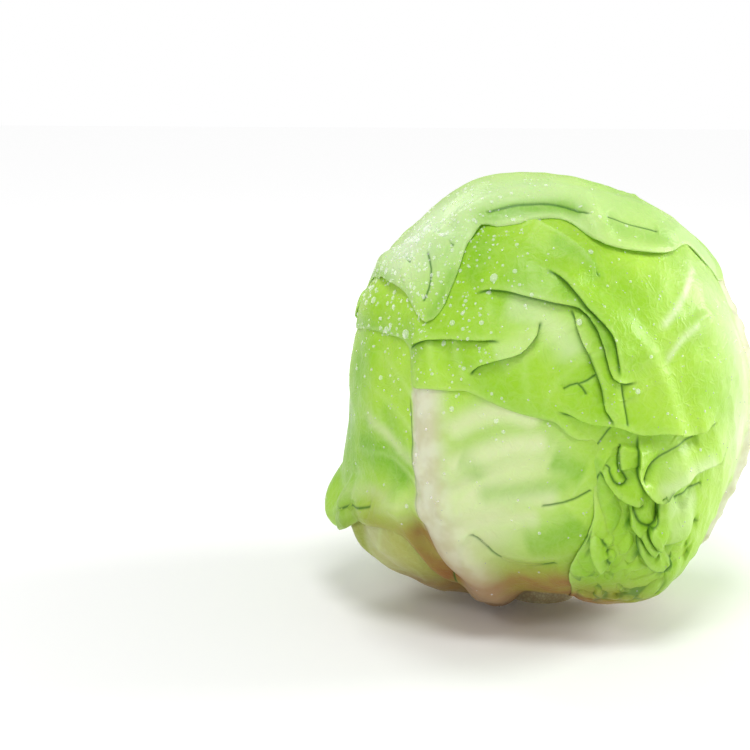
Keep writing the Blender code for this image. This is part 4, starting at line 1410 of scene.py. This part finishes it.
class CABBAGE_OT_front_leaf(LeafMaker, bpy.types.Operator):
    """Make the leaf with the broad white midrib"""

    bl_idname = "cabbage.front_leaf"
    bl_label = "Front leaf"
    leaves = ("front_leaf",)
    look = ("front_leaf", "green", "light_green", "cream")


class CABBAGE_OT_cap_leaf(LeafMaker, bpy.types.Operator):
    """Make the big leaf from the right, with its folds and gathers"""

    bl_idname = "cabbage.cap_leaf"
    bl_label = "Cap leaf"
    leaves = ("cap_leaf",)
    look = ("cap_leaf", "green", "light_green", "frost")


class CABBAGE_OT_crown_leaf(LeafMaker, bpy.types.Operator):
    """Make the leaf that comes up the back and over the top"""

    bl_idname = "cabbage.crown_leaf"
    bl_label = "Crown leaf"
    leaves = ("crown_leaf",)
    look = ("crown_leaf", "green", "light_green", "bloom")


class CABBAGE_OT_heart_and_stalk(bpy.types.Operator):
    """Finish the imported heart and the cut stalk"""

    bl_idname = "cabbage.heart_and_stalk"
    bl_label = "Heart and stalk"
    bl_options = {"REGISTER", "UNDO"}

    def execute(self, context):
        colours = context.scene.cabbage_colours
        finishes = {
            "heart": leaf_finish("inner_leaf", colours, colours.pale, colours.vein_and_highlight, colours.pale),
            "stem": stalk_finish(colours),
        }
        for name, finish in finishes.items():
            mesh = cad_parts[name].data
            mesh.materials.clear()
            mesh.materials.append(finish)
        return {"FINISHED"}


class CABBAGE_OT_water_drops(bpy.types.Operator):
    """Scatter water drops over the leaves"""

    bl_idname = "cabbage.water_drops"
    bl_label = "Water drops"
    bl_options = {"REGISTER", "UNDO"}

    def execute(self, context):
        sizes = context.scene.cabbage_sizes
        trees = [
            BVHTree.FromObject(o, context.evaluated_depsgraph_get())
            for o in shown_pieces() if o.name.endswith("_blade")
        ]
        if not trees:
            raise RuntimeError("make the leaves before the water drops")
        rng = np.random.default_rng(DROP_SEED)
        bm = bmesh.new()
        bmesh.ops.create_uvsphere(bm, u_segments=8, v_segments=5, radius=0.5)
        ball = bpy.data.meshes.new("drop")
        bm.to_mesh(ball)
        bm.clear()
        centre = Vector((0, 0, CENTRE_HEIGHT))
        drops = [(sizes.drop_size, *faced(rng.normal(*DROP_PLACES))) for _ in range(sizes.drop_count)]
        drops += [(sizes.mist_size, *faced(rng.normal(*MIST_PLACES))) for _ in range(sizes.mist_count)]
        for middling, way in drops:
            size = middling * rng.lognormal(*DROP_VARIETY)
            way = Vector(way)
            hits = [tree.ray_cast(centre + way * 2 * HALF_WIDTH, -way) for tree in trees]
            hits = [hit for hit in hits if hit[0]]
            place, normal, _, _ = min(hits, key=lambda hit: hit[3])
            if normal.dot(way) < DROP_FACING:
                continue
            turn = normal.to_track_quat("Z", "Y").to_matrix().to_4x4()
            across, high = rng.uniform(*DROP_WIDTHS), rng.uniform(*DROP_HEIGHTS)
            stretch = Matrix.Diagonal((size, size * across, size * high, 1))
            drop = ball.copy()
            drop.transform(Matrix.Translation(place + normal * size * DROP_RISE) @ turn @ stretch)
            bm.from_mesh(drop)
            bpy.data.meshes.remove(drop)
        bpy.data.meshes.remove(ball)
        piece = add_piece("water_drops", bm, water_finish())
        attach(piece, "root")
        return {"FINISHED"}


class CABBAGE_OT_studio(bpy.types.Operator):
    """Make the floor, the lamps, the white world and the camera"""

    bl_idname = "cabbage.studio"
    bl_label = "Studio"
    bl_options = {"REGISTER", "UNDO"}

    def execute(self, context):
        scene = context.scene
        bm = bmesh.new()
        bmesh.ops.create_grid(bm, x_segments=2, y_segments=2, size=FLOOR_SIZE)
        floor = add_piece("floor", bm, floor_finish(scene.cabbage_colours))
        floor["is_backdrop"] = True
        world = bpy.data.worlds.new("white_studio")
        world.use_nodes = True
        background = world.node_tree.nodes["Background"]
        background.inputs["Color"].default_value = (1, 1, 1, 1)
        links = world.node_tree.links
        rays = world.node_tree.nodes.new("ShaderNodeLightPath")
        strength = world.node_tree.nodes.new("ShaderNodeMapRange")
        strength.inputs["To Min"].default_value = WORLD_STRENGTH
        strength.inputs["To Max"].default_value = WORLD_SEEN
        links.new(rays.outputs["Is Camera Ray"], strength.inputs["Value"])
        links.new(strength.outputs[0], background.inputs["Strength"])
        scene.world = world
        centre = Vector((0, 0, CENTRE_HEIGHT))
        for name, azimuth, elevation, distance, size, watts in LAMPS:
            data = bpy.data.lights.new(name, "AREA")
            data.shape = "DISK"
            data.size = size
            data.energy = watts
            lamp = bpy.data.objects.new(name, data)
            way = Vector(faced((azimuth, elevation))[0])
            lamp.location = centre + way * distance
            lamp.rotation_euler = way.to_track_quat("Z", "Y").to_euler()
            scene.collection.objects.link(lamp)
        eye, right, up, ahead = viewpoint()
        data = bpy.data.cameras.new("camera")
        data.sensor_width = SENSOR_WIDTH
        data.lens = FOCAL_PIXELS / PHOTO_SIZE * SENSOR_WIDTH
        camera = bpy.data.objects.new("camera", data)
        rows = Matrix((right, up, -ahead)).transposed().to_4x4()
        rows.translation = Vector(eye) + centre
        camera.matrix_world = rows
        scene.collection.objects.link(camera)
        scene.camera = camera
        scene.view_settings.view_transform = "Standard"
        return {"FINISHED"}


PIECES = (
    CABBAGE_OT_heart_and_stalk,
    CABBAGE_OT_left_leaf,
    CABBAGE_OT_base_leaves,
    CABBAGE_OT_front_leaf,
    CABBAGE_OT_cap_leaf,
    CABBAGE_OT_crown_leaf,
    CABBAGE_OT_water_drops,
    CABBAGE_OT_studio,
)


class CABBAGE_PT_panel(bpy.types.Panel):
    bl_idname = "CABBAGE_PT_panel"
    bl_label = "Green cabbage"
    bl_space_type = "VIEW_3D"
    bl_region_type = "UI"
    bl_category = "Cabbage"

    def draw(self, context):
        layout = self.layout
        for piece in PIECES:
            layout.operator(piece.bl_idname)
        for group in (context.scene.cabbage_sizes, context.scene.cabbage_colours):
            for key in group.__annotations__:
                layout.prop(group, key)


CLASSES = (CabbageSizes, CabbageColours, *PIECES, CABBAGE_PT_panel)


def register():
    for made in CLASSES:
        bpy.utils.register_class(made)
    bpy.types.Scene.cabbage_sizes = PointerProperty(type=CabbageSizes)
    bpy.types.Scene.cabbage_colours = PointerProperty(type=CabbageColours)


def unregister():
    del bpy.types.Scene.cabbage_colours
    del bpy.types.Scene.cabbage_sizes
    for made in reversed(CLASSES):
        bpy.utils.unregister_class(made)


def main():
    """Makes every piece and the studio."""
    register()
    bpy.ops.cabbage.heart_and_stalk()
    bpy.ops.cabbage.left_leaf()
    bpy.ops.cabbage.base_leaves()
    bpy.ops.cabbage.front_leaf()
    bpy.ops.cabbage.cap_leaf()
    bpy.ops.cabbage.crown_leaf()
    bpy.ops.cabbage.water_drops()
    bpy.ops.cabbage.studio()


if __name__ == "__main__":
    main()
